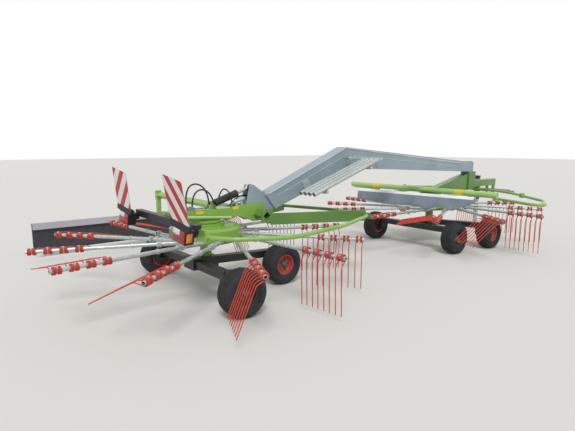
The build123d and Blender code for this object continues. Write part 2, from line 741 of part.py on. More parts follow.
# Guard frame: curtain sleeve, flange, plate arms and the fixed front rail.
RAIL_RIGHT = (REAR_HOOP_FRONT_X + EYE_L / 2 + EYE_SIDE_GAP + LUG_T / 2, REAR_HOOP_Y + LUG_SIDE / 2)
with BuildPart() as guard_frame:
    add(square_run(SLIDE_X, SLIDE_Z, SLEEVE_RIGHT_Y, SLEEVE_LEFT_Y, SLEEVE_SIDE))
    flange_x = (SLIDE_X - FLANGE_SIDE / 2, SLIDE_X + FLANGE_SIDE / 2)
    flange_z = (SLIDE_Z - FLANGE_SIDE / 2, SLIDE_Z + FLANGE_SIDE / 2)
    flange_y = (SLEEVE_RIGHT_Y, SLEEVE_RIGHT_Y + FLANGE_T)
    add(block((flange_x[0], flange_y[0], flange_z[0]), (flange_x[1], flange_y[1], flange_z[1])))
    add(box_bar(
        (SLIDE_X + 50, SLEEVE_RIGHT_Y + FLANGE_T / 2, REAR_GUARD_Z),
        (RAIL_RIGHT[0], RAIL_RIGHT[1], REAR_GUARD_Z),
        ARM_PLATE_T,
        ARM_PLATE_H,
    ))
    add(box_bar(
        (SLIDE_X + 30, -SLEEVE_RIGHT_Y, REAR_GUARD_Z),
        (RAIL_LEFT_X, RAIL_LEFT_Y, REAR_GUARD_Z),
        ARM_PLATE_T,
        ARM_PLATE_H,
    ))
    rail = [RAIL_RIGHT, (RAIL_CORNER_X, RAIL_CORNER_Y), (RAIL_LEFT_X, RAIL_LEFT_Y)]
    add(hoop([(x, y, REAR_GUARD_Z) for x, y in rail], RAIL_BEND, GUARD_D))
    lug_x = REAR_HOOP_FRONT_X + EYE_L / 2 + EYE_SIDE_GAP
    lug_low = (lug_x, REAR_HOOP_Y - LUG_SIDE / 2, REAR_GUARD_Z - LUG_SIDE / 2)
    lug_high = (lug_x + LUG_T, REAR_HOOP_Y + LUG_SIDE / 2, REAR_GUARD_Z + LUG_SIDE / 2)
    add(block(lug_low, lug_high))
    add(bar(
        (REAR_HOOP_FRONT_X - EYE_L / 2 - EYE_PIN_END, REAR_HOOP_Y, REAR_GUARD_Z),
        (lug_x + LUG_T, REAR_HOOP_Y, REAR_GUARD_Z),
        EYE_PIN_R,
    ))
    sleeve_bore = SLEEVE_SIDE - 2 * SLEEVE_WALL
    add(
        square_run(SLIDE_X, SLIDE_Z, 2 * SLEEVE_RIGHT_Y, 2 * SLEEVE_LEFT_Y, sleeve_bore),
        mode=Mode.SUBTRACT,
    )
finish(guard_frame, "guard_frame")

# Curtain slide: square tube on its edge with the drop post and its clamp box.
slide_side = sleeve_bore - 2 * SLIDE_GAP
bar_y = CURTAIN_Y - CURTAIN_T / 2 - CURTAIN_BAR_T
drop = DROP_SIDE / 2
with BuildPart() as curtain_slide:
    add(square_run(SLIDE_X, SLIDE_Z, SLIDE_TAIL_Y, bar_y - drop, slide_side))
    add(block(
        (SLIDE_X - drop, bar_y - DROP_SIDE, CURTAIN_TOP_Z - CURTAIN_BAR_H),
        (SLIDE_X + drop, bar_y, SLIDE_Z + DROP_RISE),
    ))
    box_half = drop + DROP_BOX_WALL
    add(block(
        (SLIDE_X - box_half, bar_y - DROP_SIDE - DROP_BOX_WALL, SLIDE_Z - DROP_BOX_HALF_H),
        (SLIDE_X + box_half, bar_y + DROP_BOX_WALL, SLIDE_Z + DROP_BOX_HALF_H),
    ))
finish(curtain_slide, "curtain_slide")

# Bar along the curtain's top, on the side of the rotor.
with BuildPart() as curtain_bar:
    add(block(
        (CURTAIN_REAR_X + CURTAIN_BAR_INSET, bar_y, CURTAIN_TOP_Z - CURTAIN_BAR_H),
        (CURTAIN_FRONT_X - CURTAIN_BAR_INSET, bar_y + CURTAIN_BAR_T, CURTAIN_TOP_Z),
    ))
finish(curtain_bar, "curtain_bar")

with BuildPart() as rear_curtain:
    add(block(
        (CURTAIN_REAR_X, CURTAIN_Y - CURTAIN_T / 2, CURTAIN_LOW_Z),
        (CURTAIN_FRONT_X, CURTAIN_Y + CURTAIN_T / 2, CURTAIN_TOP_Z),
    ))
finish(rear_curtain, "rear_curtain")

# Lifting cylinder, from the carrier's lug to the boom's horn.
lift_rear = Vector(LIFT_REAR_X, 0, LIFT_REAR_Z)
lift_eye = Vector(LIFT_EYE_X, 0, LIFT_EYE_Z)
lift_way = (lift_eye - lift_rear).normalized()
barrel_start = lift_rear + lift_way * LIFT_BARREL_START
barrel_end = barrel_start + lift_way * LIFT_BARREL_L
half_eye = Vector(0, LIFT_EYE_W / 2, 0)
with BuildPart() as lift_barrel:
    add(bar(tuple(barrel_start), tuple(barrel_end), LIFT_BARREL_R))
    add(bar(tuple(lift_rear), tuple(barrel_start), LIFT_REAR_EYE_R - LIFT_PIN_R))
    add(bar(tuple(lift_rear - half_eye), tuple(lift_rear + half_eye), LIFT_REAR_EYE_R))
    add(
        bar(tuple(lift_rear - half_eye * 2), tuple(lift_rear + half_eye * 2), LIFT_PIN_R + LIFT_PIN_GAP),
        mode=Mode.SUBTRACT,
    )
finish(lift_barrel, "lift_barrel")
with BuildPart() as lift_rod:
    add(bar(tuple(barrel_end), tuple(lift_eye), LIFT_ROD_R))
    add(bar(tuple(lift_eye - half_eye), tuple(lift_eye + half_eye), LIFT_EYE_R))
    add(
        bar(tuple(lift_eye - half_eye * 2), tuple(lift_eye + half_eye * 2), LIFT_EYE_BORE_R),
        mode=Mode.SUBTRACT,
    )
finish(lift_rod, "lift_rod")

# Light bar across the rear, with the rear lug of the right guard hoop.
bar_low = LIGHT_BAR_Z - LIGHT_BAR_H / 2
with BuildPart() as light_bar:
    add(block(
        (LIGHT_BAR_X - LIGHT_BAR_W / 2, -LIGHT_BAR_HALF, bar_low),
        (LIGHT_BAR_X + LIGHT_BAR_W / 2, LIGHT_BAR_HALF, LIGHT_BAR_TOP_Z),
    ))
    lug_x = REAR_HOOP_REAR_X - EYE_L / 2 - EYE_SIDE_GAP
    add(block(
        (lug_x - LUG_T, REAR_HOOP_Y - LUG_SIDE / 2, REAR_GUARD_Z - LUG_SIDE / 2),
        (lug_x, -LIGHT_BAR_HALF + LUG_SIDE / 2, LIGHT_BAR_Z),
    ))
    add(bar(
        (lug_x - LUG_T, REAR_HOOP_Y, REAR_GUARD_Z),
        (REAR_HOOP_REAR_X + EYE_L / 2 + EYE_PIN_END, REAR_HOOP_Y, REAR_GUARD_Z),
        EYE_PIN_R,
    ))
finish(light_bar, "light_bar")

# Lamps with a board above each, on brackets from the light bar
# y, lean of the board in degrees
LAMPS = [(-665.0, 17.7), (692.0, 11.8)]


def lamp_place(y):
    """The middle of a lamp's back, turned and rolled as it hangs."""
    turned = Location((LAMP_X, y, LAMP_Z), (0, 0, LAMP_YAW))
    return turned * Location((0, 0, 0), (LAMP_ROLL, 0, 0))


def board_place(y, lean):
    """The foot of a leaning board, its X pointing away from its striped face."""
    return lamp_place(y) * Location((-BOARD_BACK, 0, LAMP_H / 2 + HOLDER_H), (0, -lean, 0))


def put(place, low, high):
    """A box between two corners in a place's own frame."""
    return block(low, high).moved(place)


half_lamp = LAMP_W / 2
half_board = BOARD_W / 2
with BuildPart() as lamps:
    for y, lean in LAMPS:
        add(put(lamp_place(y), (-LAMP_D, -half_lamp, -LAMP_H / 2), (0, half_lamp, LAMP_H / 2)))
finish(lamps, "lamps")
with BuildPart() as lamp_lenses:
    lens_y = half_lamp - LENS_EDGE
    lens_z = LAMP_H / 2 - LENS_EDGE
    for y, lean in LAMPS:
        add(put(lamp_place(y), (-LAMP_D - LENS_T, -lens_y, -lens_z), (-LAMP_D, lens_y, lens_z)))
finish(lamp_lenses, "lamp_lenses")
with BuildPart() as board_stays:
    shelf_z = LAMP_H / 2
    for y, lean in LAMPS:
        at_lamp = lamp_place(y)
        add(put(
            at_lamp,
            (-BOARD_BACK, -half_board, shelf_z),
            (HOLDER_T - BOARD_BACK, half_board, shelf_z + HOLDER_H),
        ))
        add(put(
            at_lamp,
            (-BOARD_BACK, -BRACKET_HALF_W, shelf_z),
            (BRACKET_T, BRACKET_HALF_W, shelf_z + BRACKET_T),
        ))
        add(put(
            at_lamp,
            (0, -BRACKET_HALF_W, -BRACKET_HALF_H),
            (BRACKET_T, BRACKET_HALF_W, shelf_z + BRACKET_T),
        ))
        add(put(
            at_lamp,
            (0, -BRACKET_HALF_W, -BRACKET_HALF_H),
            (BRACKET_L, BRACKET_HALF_W, BRACKET_HALF_H),
        ))
        add(put(
            board_place(y, lean),
            (BOARD_T, -BOARD_STRIP_W / 2, -HOLDER_H / 2),
            (BOARD_T + BOARD_STRIP_T, BOARD_STRIP_W / 2, BOARD_H - BOARD_STRIP_SHORT),
        ))
    add(block(
        (LIGHT_BAR_X - LIGHT_BAR_W / 2, -2 * LIGHT_BAR_HALF, bar_low),
        (LIGHT_BAR_X + BRACKET_L, 2 * LIGHT_BAR_HALF, LIGHT_BAR_TOP_Z),
    ), mode=Mode.SUBTRACT)
finish(board_stays, "board_stays")
with BuildPart() as warning_boards:
    for y, lean in LAMPS:
        add(put(board_place(y, lean), (0, -half_board, 0), (BOARD_T, half_board, BOARD_H)))
finish(warning_boards, "warning_boards")


def guard_hoop(rear_x, front_x, y, z, corners):
    """A swing-up hoop with an eye at each end, its eyes' axis along X."""
    outward = 1 if corners[0][1] > y else -1
    entry_y = y + outward * EYE_R * 0.9
    with BuildPart(mode=Mode.PRIVATE) as guard:
        middle = [(x, corner_y, z) for x, corner_y, bend in corners]
        start = (rear_x + EYE_ENTRY, entry_y, z)
        end = (front_x - EYE_ENTRY, entry_y, z)
        add(hoop([start, *middle, end], [bend for x, corner_y, bend in corners], GUARD_D))
        for x in (rear_x, front_x):
            add(bar((x - EYE_L / 2, y, z), (x + EYE_L / 2, y, z), EYE_R))
        for x in (rear_x, front_x):
            add(
                bar((x - EYE_L, y, z), (x + EYE_L, y, z), EYE_PIN_R + EYE_GAP),
                mode=Mode.SUBTRACT,
            )
    return guard.part


# Hoops: name, rear eye x, front eye x, y, z, corners as x, y, bend radius
HOOPS = [
    (
        "rear_hoop_right", REAR_HOOP_REAR_X, REAR_HOOP_FRONT_X, REAR_HOOP_Y, REAR_GUARD_Z,
        [(-265.0, -985.0, 200.0), (190.0, -1240.0, 450.0), (1000.0, -1090.0, 1000.0)],
    ),
    (
        "front_hoop_right", FRONT_HOOP_REAR_X, FRONT_HOOP_FRONT_X, -FRONT_HOOP_Y, GUARD_Z,
        [(3775.0, -1930.0, 90.0), (4440.0, -1640.0, 400.0)],
    ),
    (
        "front_hoop_left", FRONT_HOOP_REAR_X, FRONT_HOOP_FRONT_X, FRONT_HOOP_Y, GUARD_Z,
        [(4260.0, 1930.0, 200.0), (4830.0, 1780.0, 200.0)],
    ),
]
for name, rear_x, front_x, y, z, corners in HOOPS:
    with BuildPart() as swing_hoop:
        add(guard_hoop(rear_x, front_x, y, z, corners))
    finish(swing_hoop, name)

# Boom: cranked box, horns and hinge plates behind, pivot eye in front.
boom_low_front = HEAD_TOP_Z + PIVOT_SEAT
boom_front_x = PIVOT_X - PIVOT_EYE_R * 0.6
horn_out = half_w - CHEEK_T - HORN_GAP
cap_top = BOOM_FRONT_TOP_Z + 1 + PIVOT_CAP_T
shaft_rise = (SHAFT_FRONT_Z - SHAFT_REAR_Z) / (SHAFT_FRONT_X - SHAFT_REAR_X)
shaft_rear = (SHAFT_REAR_X, SHAFT_Y, SHAFT_REAR_Z)
shaft_front = (SHAFT_FRONT_X, SHAFT_Y, SHAFT_FRONT_Z)
# Outline of the horn plates, from the rod's pin round the hinge into the boom.
HORN = [
    (485.0, 880.0),
    (LIFT_EYE_X - 24, LIFT_EYE_Z + 32),
    (LIFT_EYE_X + 20, LIFT_EYE_Z + 32),
    (BOOM_REAR_TOP_X + 20, BOOM_REAR_TOP_Z),
    (BOOM_REAR_LOW_X + 20, BOOM_REAR_TOP_Z),
    (BOOM_REAR_LOW_X + 20, BOOM_REAR_LOW_Z + 20),
    (BOOM_REAR_LOW_X, BOOM_REAR_LOW_Z + 4),
    (HINGE_X + 33, HINGE_Z - 38),
    (HINGE_X - 12, HINGE_Z - 24),
    (HINGE_X - 50, HINGE_Z + 6),
]
with BuildPart() as boom:
    add(plate([
        (BOOM_REAR_LOW_X, BOOM_REAR_LOW_Z),
        (BOOM_REAR_TOP_X, BOOM_REAR_TOP_Z),
        (BOOM_CRANK_TOP_X, BOOM_CRANK_TOP_Z),
        (boom_front_x, BOOM_FRONT_TOP_Z),
        (boom_front_x, boom_low_front),
        (BOOM_CRANK_LOW_X, BOOM_CRANK_LOW_Z),
    ], -BOOM_W / 2, BOOM_W / 2))
    add(bar((PIVOT_X, 0, boom_low_front), (PIVOT_X, 0, BOOM_FRONT_TOP_Z), PIVOT_EYE_R))
    add(plate(HORN, horn_out - HORN_T, horn_out))
    add(plate(HORN, -horn_out, -horn_out + HORN_T))
    add(bar((LIFT_EYE_X, -horn_out, LIFT_EYE_Z), (LIFT_EYE_X, horn_out, LIFT_EYE_Z), LIFT_PIN_R))
    for bearing_x in BEARING_XS:
        bearing_z = SHAFT_REAR_Z + shaft_rise * (bearing_x - SHAFT_REAR_X)
        reach = SHAFT_R + BEARING_WALL
        add(block(
            (bearing_x - BEARING_T / 2, BOOM_W / 2, bearing_z - reach),
            (bearing_x + BEARING_T / 2, SHAFT_Y + reach, bearing_z + reach),
        ))
    add(
        bar((HINGE_X, -CARRIER_W, HINGE_Z), (HINGE_X, CARRIER_W, HINGE_Z), HINGE_PIN_R + HINGE_GAP),
        mode=Mode.SUBTRACT,
    )
    add(
        bar((PIVOT_X, 0, HEAD_LOW_Z), (PIVOT_X, 0, cap_top), PIVOT_PIN_R + PIVOT_GAP),
        mode=Mode.SUBTRACT,
    )
    add(bar(shaft_rear, shaft_front, SHAFT_R + SHAFT_GAP), mode=Mode.SUBTRACT)
finish(boom, "boom")
with BuildPart() as shaft_guard:
    add(bar(shaft_rear, shaft_front, SHAFT_R))
finish(shaft_guard, "shaft_guard")

# Rack of tubes on the boom's right side, parallel to the slope.
rack_angle = degrees(atan2(RACK_FRONT_Z - RACK_REAR_Z, RACK_FRONT_X - RACK_REAR_X))
rack_last_y = RACK_FIRST_Y - (RACK_TUBES - 1) * RACK_PITCH
with BuildPart() as rack_tubes:
    for count in range(RACK_TUBES):
        y = RACK_FIRST_Y - count * RACK_PITCH
        add(bar((RACK_REAR_X, y, RACK_REAR_Z), (RACK_FRONT_X, y, RACK_FRONT_Z), RACK_D / 2))
    for count in range(RACK_TUBES):
        y = RACK_FIRST_Y - count * RACK_PITCH
        add(
            bar((RACK_REAR_X, y, RACK_REAR_Z), (RACK_FRONT_X, y, RACK_FRONT_Z), RACK_BORE / 2),
            mode=Mode.SUBTRACT,
        )
finish(rack_tubes, "rack_tubes")
with BuildPart() as rack_rests:
    for share in RACK_REST_SHARES:
        rest_x = RACK_REAR_X + share * (RACK_FRONT_X - RACK_REAR_X)
        rest_z = RACK_REAR_Z + share * (RACK_FRONT_Z - RACK_REAR_Z)
        with Locations(Location((rest_x, 0, rest_z), (0, -rack_angle, 0))):
            rest_l = RACK_END - rack_last_y - BOOM_W / 2
            with Locations((0, -BOOM_W / 2 - rest_l / 2, -RACK_D / 2 - RACK_REST_H / 2)):
                Box(RACK_REST_W, rest_l, RACK_REST_H)
            plate_z = RACK_PLATE_H / 2 - RACK_D / 2 - RACK_REST_H
            with Locations((0, -BOOM_W / 2 - RACK_PLATE_T / 2, plate_z)):
                Box(RACK_PLATE_L, RACK_PLATE_T, RACK_PLATE_H)
finish(rack_rests, "rack_rests")

# Front carrier: saddle on the gearbox and the gusset up to the headstock.
with BuildPart() as front_carrier:
    add(block(
        (SADDLE_X, -SADDLE_HALF_W, GEARBOX_TOP_Z),
        (SADDLE_X + SADDLE_L, SADDLE_HALF_W, GEARBOX_TOP_Z + SADDLE_T),
    ))
    add(plate([
        (GUSSET_X, GEARBOX_TOP_Z + SADDLE_T / 2),
        (GUSSET_X, GEARBOX_TOP_Z + SADDLE_T + GUSSET_H),
        (HEAD_REAR_X, HEAD_TOP_Z - SADDLE_T),
        (HEAD_REAR_X, HEAD_LOW_Z),
    ], -GUSSET_HALF_W, GUSSET_HALF_W))
finish(front_carrier, "front_carrier")

with BuildPart() as headstock:
    add(block((HEAD_REAR_X, -HEAD_W / 2, HEAD_LOW_Z), (HEAD_FRONT_X, HEAD_W / 2, HEAD_TOP_Z)))
    add(bar((PIVOT_X, 0, HEAD_TOP_Z), (PIVOT_X, 0, BOOM_FRONT_TOP_Z + 1), PIVOT_PIN_R))
    add(bar(
        (PIVOT_X, 0, BOOM_FRONT_TOP_Z + 1),
        (PIVOT_X, 0, cap_top),
        PIVOT_CAP_R,
    ))
    beam_top = DRAW_BEAM_LOW_Z + DRAW_BEAM_H
    beam_mid = DRAW_BEAM_LOW_Z + DRAW_BEAM_H / 2
    plate_low = LINK_Z - LINK_PLATE_DROP
    add(block(
        (HEAD_FRONT_X, -HEAD_W / 2, DRAW_BEAM_LOW_Z),
        (DRAW_BEAM_FRONT_X, HEAD_W / 2, beam_top),
    ))
    for side in (-1, 1):
        add(block(
            (LINK_X + LINK_SHAFT_R - LINK_PLATE_L, side * LINK_PLATE_Y - LINK_PLATE_T / 2, plate_low),
            (DRAW_BEAM_FRONT_X, side * LINK_PLATE_Y + LINK_PLATE_T / 2, DRAW_BEAM_LOW_Z),
        ))
    add(block(
        (JACK_X - JACK_LUG_L / 2, HEAD_W / 2, beam_mid - JACK_LUG_H / 2),
        (JACK_X + JACK_LUG_L / 2, JACK_Y - JACK_SLEEVE / 2, beam_mid + JACK_LUG_H / 2),
    ))
    rail_x = FRONT_RAIL[2][0]
    add(block(
        (rail_x - RAIL_LUG_L / 2, -RAIL_LUG_W / 2, GUARD_Z + GUARD_D / 2 + SLIDE_GAP),
        (rail_x + RAIL_LUG_L / 2, RAIL_LUG_W / 2, DRAW_BEAM_LOW_Z),
    ))
    add(
        bar((LINK_X, -HEAD_W, LINK_Z), (LINK_X, HEAD_W, LINK_Z), LINK_SHAFT_R + 0.3),
        mode=Mode.SUBTRACT,
    )
finish(headstock, "headstock")

with BuildPart() as link_shaft:
    shaft_half = LINK_SPAN / 2 - LINK_PIN_L / 2
    add(bar((LINK_X, -shaft_half, LINK_Z), (LINK_X, shaft_half, LINK_Z), LINK_SHAFT_R))
    pin_half = shaft_half + LINK_PIN_L
    add(bar((LINK_X, -pin_half, LINK_Z), (LINK_X, pin_half, LINK_Z), LINK_PIN_R))
finish(link_shaft, "link_shaft")
with BuildPart() as input_shaft:
    add(bar((DRAW_BEAM_FRONT_X, 0, INPUT_Z), (DRAW_BEAM_FRONT_X + INPUT_L, 0, INPUT_Z), INPUT_R))
finish(input_shaft, "input_shaft")

# Parking jack: square sleeve on the draw beam's side, leg with a foot.
with BuildPart() as jack_sleeve:
    half = JACK_SLEEVE / 2
    add(block((JACK_X - half, JACK_Y - half, JACK_SLEEVE_LOW_Z), (JACK_X + half, JACK_Y + half, JACK_TOP_Z)))
    bore = half - JACK_WALL
    add(
        block((JACK_X - bore, JACK_Y - bore, 0), (JACK_X + bore, JACK_Y + bore, JACK_TOP_Z + 10)),
        mode=Mode.SUBTRACT,
    )
finish(jack_sleeve, "jack_sleeve")
with BuildPart() as jack_leg:
    leg = bore - JACK_GAP
    add(block((JACK_X - leg, JACK_Y - leg, JACK_FOOT_T), (JACK_X + leg, JACK_Y + leg, JACK_LEG_TOP_Z)))
    foot = JACK_FOOT / 2
    add(block((JACK_X - foot, JACK_Y - foot, 0), (JACK_X + foot, JACK_Y + foot, JACK_FOOT_T)))
finish(jack_leg, "jack_leg")

# Where the folded curtain lies, its Y along the rail.
fold_frame = Location((FOLD_X, FOLD_Y, FOLD_Z), (0, 0, FOLD_YAW))

# Cross tube over the front rotor, with the rear lugs of the front hoops.
with BuildPart() as cross_tube:
    add(bar((CROSS_X, CROSS_RIGHT_Y, CROSS_Z), (CROSS_X, CROSS_LEFT_Y, CROSS_Z), CROSS_D / 2))
    lug_x = FRONT_HOOP_REAR_X - EYE_L / 2 - EYE_SIDE_GAP
    for side in (-1, 1):
        y = side * FRONT_HOOP_Y
        add(block(
            (CROSS_X, y - CROSS_LUG / 2, GUARD_Z - CROSS_LUG / 2),
            (lug_x, y + CROSS_LUG / 2, GUARD_Z + CROSS_LUG / 2),
        ))
        add(block(
            (CROSS_X, y - CROSS_LUG / 2, GUARD_Z),
            (CROSS_X + CROSS_D / 2 - CROSS_LUG_BACK, y + CROSS_LUG / 2, CROSS_Z),
        ))
        add(bar(
            (CROSS_X + 10, y, GUARD_Z),
            (FRONT_HOOP_REAR_X + EYE_L / 2 + EYE_PIN_END, y, GUARD_Z),
            EYE_PIN_R,
        ))
    for y in FOLD_ARM_YS:
        add(block(
            (FOLD_X - FOLD_L / 10, y - FOLD_ARM / 2, FOLD_Z - FOLD_ARM / 2),
            (CROSS_X, y + FOLD_ARM / 2, FOLD_Z + FOLD_ARM / 2),
        ))
    with Locations(fold_frame):
        with Locations((FOLD_RAIL_R - FOLD_L / 5, 0, 0)):
            Box(FOLD_L / 2.5, FOLD_L, FOLD_L / 5, mode=Mode.SUBTRACT)
finish(cross_tube, "cross_tube")

with BuildPart() as front_rail:
    add(hoop([(x, y, GUARD_Z) for x, y in FRONT_RAIL], FRONT_RAIL_BEND, GUARD_D))
    lug_x = FRONT_HOOP_FRONT_X + EYE_L / 2 + EYE_SIDE_GAP
    for side in (-1, 1):
        y = side * FRONT_HOOP_Y
        add(block(
            (lug_x, y - LUG_SIDE / 2, GUARD_Z - LUG_SIDE / 2),
            (lug_x + LUG_T, y + LUG_SIDE / 2, GUARD_Z + LUG_SIDE / 2),
        ))
        add(bar(
            (FRONT_HOOP_FRONT_X - EYE_L / 2 - EYE_PIN_END, y, GUARD_Z),
            (lug_x + LUG_T, y, GUARD_Z),
            EYE_PIN_R,
        ))
finish(front_rail, "front_rail")

# Front curtain: a rail on two arms, the sheet folded over it.
with BuildPart() as curtain_rail:
    with Locations(fold_frame):
        Box(FOLD_RAIL_R * 2, FOLD_L, FOLD_RAIL_R * 2)
finish(curtain_rail, "curtain_rail")
fold_top = FOLD_RAIL_R + FOLD_GAP
with BuildPart() as front_curtain:
    with Locations(fold_frame):
        with Locations((-FOLD_TOP_W / 2 + FOLD_RAIL_R, 0, fold_top + FOLD_T / 2)):
            Box(FOLD_TOP_W, FOLD_L, FOLD_T)
        with Locations((-FOLD_TOP_W + FOLD_RAIL_R + FOLD_T / 2, 0, fold_top + FOLD_T - FOLD_DROP / 2)):
            Box(FOLD_T, FOLD_L, FOLD_DROP)
finish(front_curtain, "front_curtain")

# The machine's own frame: the middle of its footprint is the origin.
box = Compound(children=[Part(piece.wrapped) for piece in pieces]).bounding_box()
ORIGIN = Vector((box.min.X + box.max.X) / 2, (box.min.Y + box.max.Y) / 2, 0)
os.makedirs("parts", exist_ok=True)
for piece in pieces:
    moved = piece.moved(Location(-ORIGIN))
    moved.label = piece.label
    export_step(moved, f"parts/{piece.label}.step")
print("origin", ORIGIN, "size", box.size, "low", box.min)
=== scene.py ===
"""Dresses the two-rotor rotary rake: finishes, springs, tyres, curtains, lights and camera.

Sizes are in metres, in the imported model's own frame: X forward, Y left, Z up.
Places named "machine" are measured from the ground under the rear rotor's axis.
"""

import json
import logging
import math
from dataclasses import dataclass
from enum import Enum
from typing import Any, Callable, Iterable, Sequence

import bmesh
import bpy
from mathutils import Euler, Matrix, Vector, noise

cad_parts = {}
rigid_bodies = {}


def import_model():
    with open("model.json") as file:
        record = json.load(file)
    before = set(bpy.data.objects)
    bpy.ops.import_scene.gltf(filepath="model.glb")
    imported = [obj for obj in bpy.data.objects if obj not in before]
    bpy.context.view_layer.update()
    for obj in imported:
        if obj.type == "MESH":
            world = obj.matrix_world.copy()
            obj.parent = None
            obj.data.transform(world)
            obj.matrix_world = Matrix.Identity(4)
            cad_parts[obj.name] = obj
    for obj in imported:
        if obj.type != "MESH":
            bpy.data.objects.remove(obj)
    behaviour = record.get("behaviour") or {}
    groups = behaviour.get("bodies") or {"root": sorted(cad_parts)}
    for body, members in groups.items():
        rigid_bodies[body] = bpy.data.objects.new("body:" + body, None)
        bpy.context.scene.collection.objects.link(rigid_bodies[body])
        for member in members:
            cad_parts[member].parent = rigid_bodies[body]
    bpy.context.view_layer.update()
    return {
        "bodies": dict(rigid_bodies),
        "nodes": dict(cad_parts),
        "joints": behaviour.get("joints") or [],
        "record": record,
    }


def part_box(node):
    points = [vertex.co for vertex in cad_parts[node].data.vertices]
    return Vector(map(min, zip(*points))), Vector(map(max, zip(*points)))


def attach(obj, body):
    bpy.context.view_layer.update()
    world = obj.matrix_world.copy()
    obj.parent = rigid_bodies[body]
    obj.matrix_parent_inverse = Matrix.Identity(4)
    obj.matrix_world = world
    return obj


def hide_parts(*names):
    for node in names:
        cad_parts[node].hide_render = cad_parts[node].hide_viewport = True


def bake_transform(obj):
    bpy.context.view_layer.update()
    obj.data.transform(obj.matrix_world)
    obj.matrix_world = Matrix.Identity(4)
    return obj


LOG = logging.getLogger("rake")
Point = tuple[float, float, float]

# Each rotor's name, its first arm's bearing, and every arm's turn about itself, in degrees.
ROTORS = (
    ("rear", 126.7, (78, 78, 79, 65, 23, 0, 0, 0, 0, 20, 60, 78)),
    ("front", 87.3, (78, 78, 78, 78, 80, 48, 0, 0, 0, 0, 12, 50)),
)
# Each wheel's name, the way its outer side looks (1 for left), and whether that side of the red rim is
# painted black as shade in its hollow.
WHEELS = (
    ("rear_right", -1.0, True),
    ("rear_left", 1.0, False),
    ("rear_nose", -1.0, False),
    ("front_right", -1.0, True),
    ("front_left", 1.0, False),
    ("front_nose", -1.0, False),
)


class Colour(Enum):
    """The machine's colours, as sRGB hex values."""

    GREEN = "#7BA83A"
    # Lighter green: the green's random mottle, and a painted highlight on round tubes.
    GREEN_MOTTLE_AND_HIGHLIGHT = "#A4C97C"
    # The frame's green darkened as painted shade.
    GREEN_PAINTED_SHADE = "#537C35"
    BOOM = "#8798A1"
    # Lighter grey: the boom's random mottle, and a painted highlight along its edges.
    BOOM_MOTTLE_AND_HIGHLIGHT = "#AEBCC3"
    GALVANISED = "#C4CBC9"
    GALVANISED_DARK = "#8A9492"
    TINE = "#C8391F"
    TINE_DARK = "#8E2B22"
    RIM = "#B23A2C"
    TYRE = "#1E2025"
    TYRE_DUST = "#3E3E42"
    CHASSIS = "#1B1C20"
    CANVAS = "#8C98A6"
    CANVAS_DARK = "#687583"
    CANVAS_EDGE = "#F3F5F5"
    RUBBER = "#2C2E38"
    RUBBER_STRIP = "#B3B2BA"
    BOARD_RED = "#B80F1E"
    BOARD_WHITE = "#DDE1DD"
    AMBER = "#F0902A"
    LENS_RED = "#8E0F1E"
    LENS_CLEAR = "#D9DADC"
    STICKER = "#E8C520"
    BLACK = "#18191C"
    STEEL = "#8B8D8F"
    CHROME = "#C9CCCF"
    DUST = "#8E8678"
    FLOOR = "#D9D8D4"


def linear(colour: Colour | str) -> tuple[float, float, float, float]:
    """Turn an sRGB hex colour into Blender's linear colour.

    Args:
        colour: A named colour or a "#RRGGBB" string.

    Returns:
        Linear red, green, blue and an alpha of 1.
    """
    code = colour.value if isinstance(colour, Colour) else colour
    parts = [int(code[i : i + 2], 16) / 255 for i in (1, 3, 5)]
    flat = [c / 12.92 if c <= 0.04045 else ((c + 0.055) / 1.055) ** 2.4 for c in parts]
    return flat[0], flat[1], flat[2], 1.0


def add_node(
    tree: bpy.types.NodeTree,
    kind: str,
    settings: dict[str, Any] | None = None,
    inputs: dict[Any, Any] | None = None,
) -> bpy.types.Node:
    """Add a node with its settings, and set or link its inputs.

    Args:
        tree: The node tree it goes into.
        kind: The node's type name.
        settings: Attributes of the node itself.
        inputs: Values by input name or number; a socket is linked, anything else is set.

    Returns:
        The new node.
    """
    made = tree.nodes.new(kind)
    for key, value in (settings or {}).items():
        setattr(made, key, value)
    for key, value in (inputs or {}).items():
        if isinstance(value, bpy.types.NodeSocket):
            tree.links.new(value, made.inputs[key])
        else:
            made.inputs[key].default_value = value
    return made


def maths(tree: bpy.types.NodeTree, operation: str, first: Any, second: Any = 0.0) -> bpy.types.NodeSocket:
    """One step of arithmetic in a node tree.

    Args:
        tree: The node tree.
        operation: The math node's operation.
        first: Its first value, a socket or a number.
        second: Its second value, for operations that take two.

    Returns:
        The result's socket.
    """
    return add_node(tree, "ShaderNodeMath", {"operation": operation}, {0: first, 1: second}).outputs[0]


def ramp(
    tree: bpy.types.NodeTree,
    value: bpy.types.NodeSocket,
    source: tuple[float, float],
    target: tuple[float, float],
) -> bpy.types.NodeSocket:
    """Map a value from one range to another, held at both ends.

    Args:
        tree: The node tree.
        value: The value's socket.
        source: The range that it comes from.
        target: The range that it goes to.

    Returns:
        The result's socket.
    """
    inputs = {"Value": value, "From Min": source[0], "From Max": source[1]}
    inputs.update({"To Min": target[0], "To Max": target[1]})
    return add_node(tree, "ShaderNodeMapRange", None, inputs).outputs[0]


def mixed(
    tree: bpy.types.NodeTree, share: bpy.types.NodeSocket, first: Any, second: Any
) -> bpy.types.NodeSocket:
    """Mix two colours.

    Args:
        tree: The node tree.
        share: How much of the second colour there is.
        first: The first colour, a socket or a value.
        second: The second colour, a socket or a value.

    Returns:
        The mixed colour's socket.
    """
    inputs = {0: share, 6: first, 7: second}
    return add_node(tree, "ShaderNodeMix", {"data_type": "RGBA"}, inputs).outputs[2]


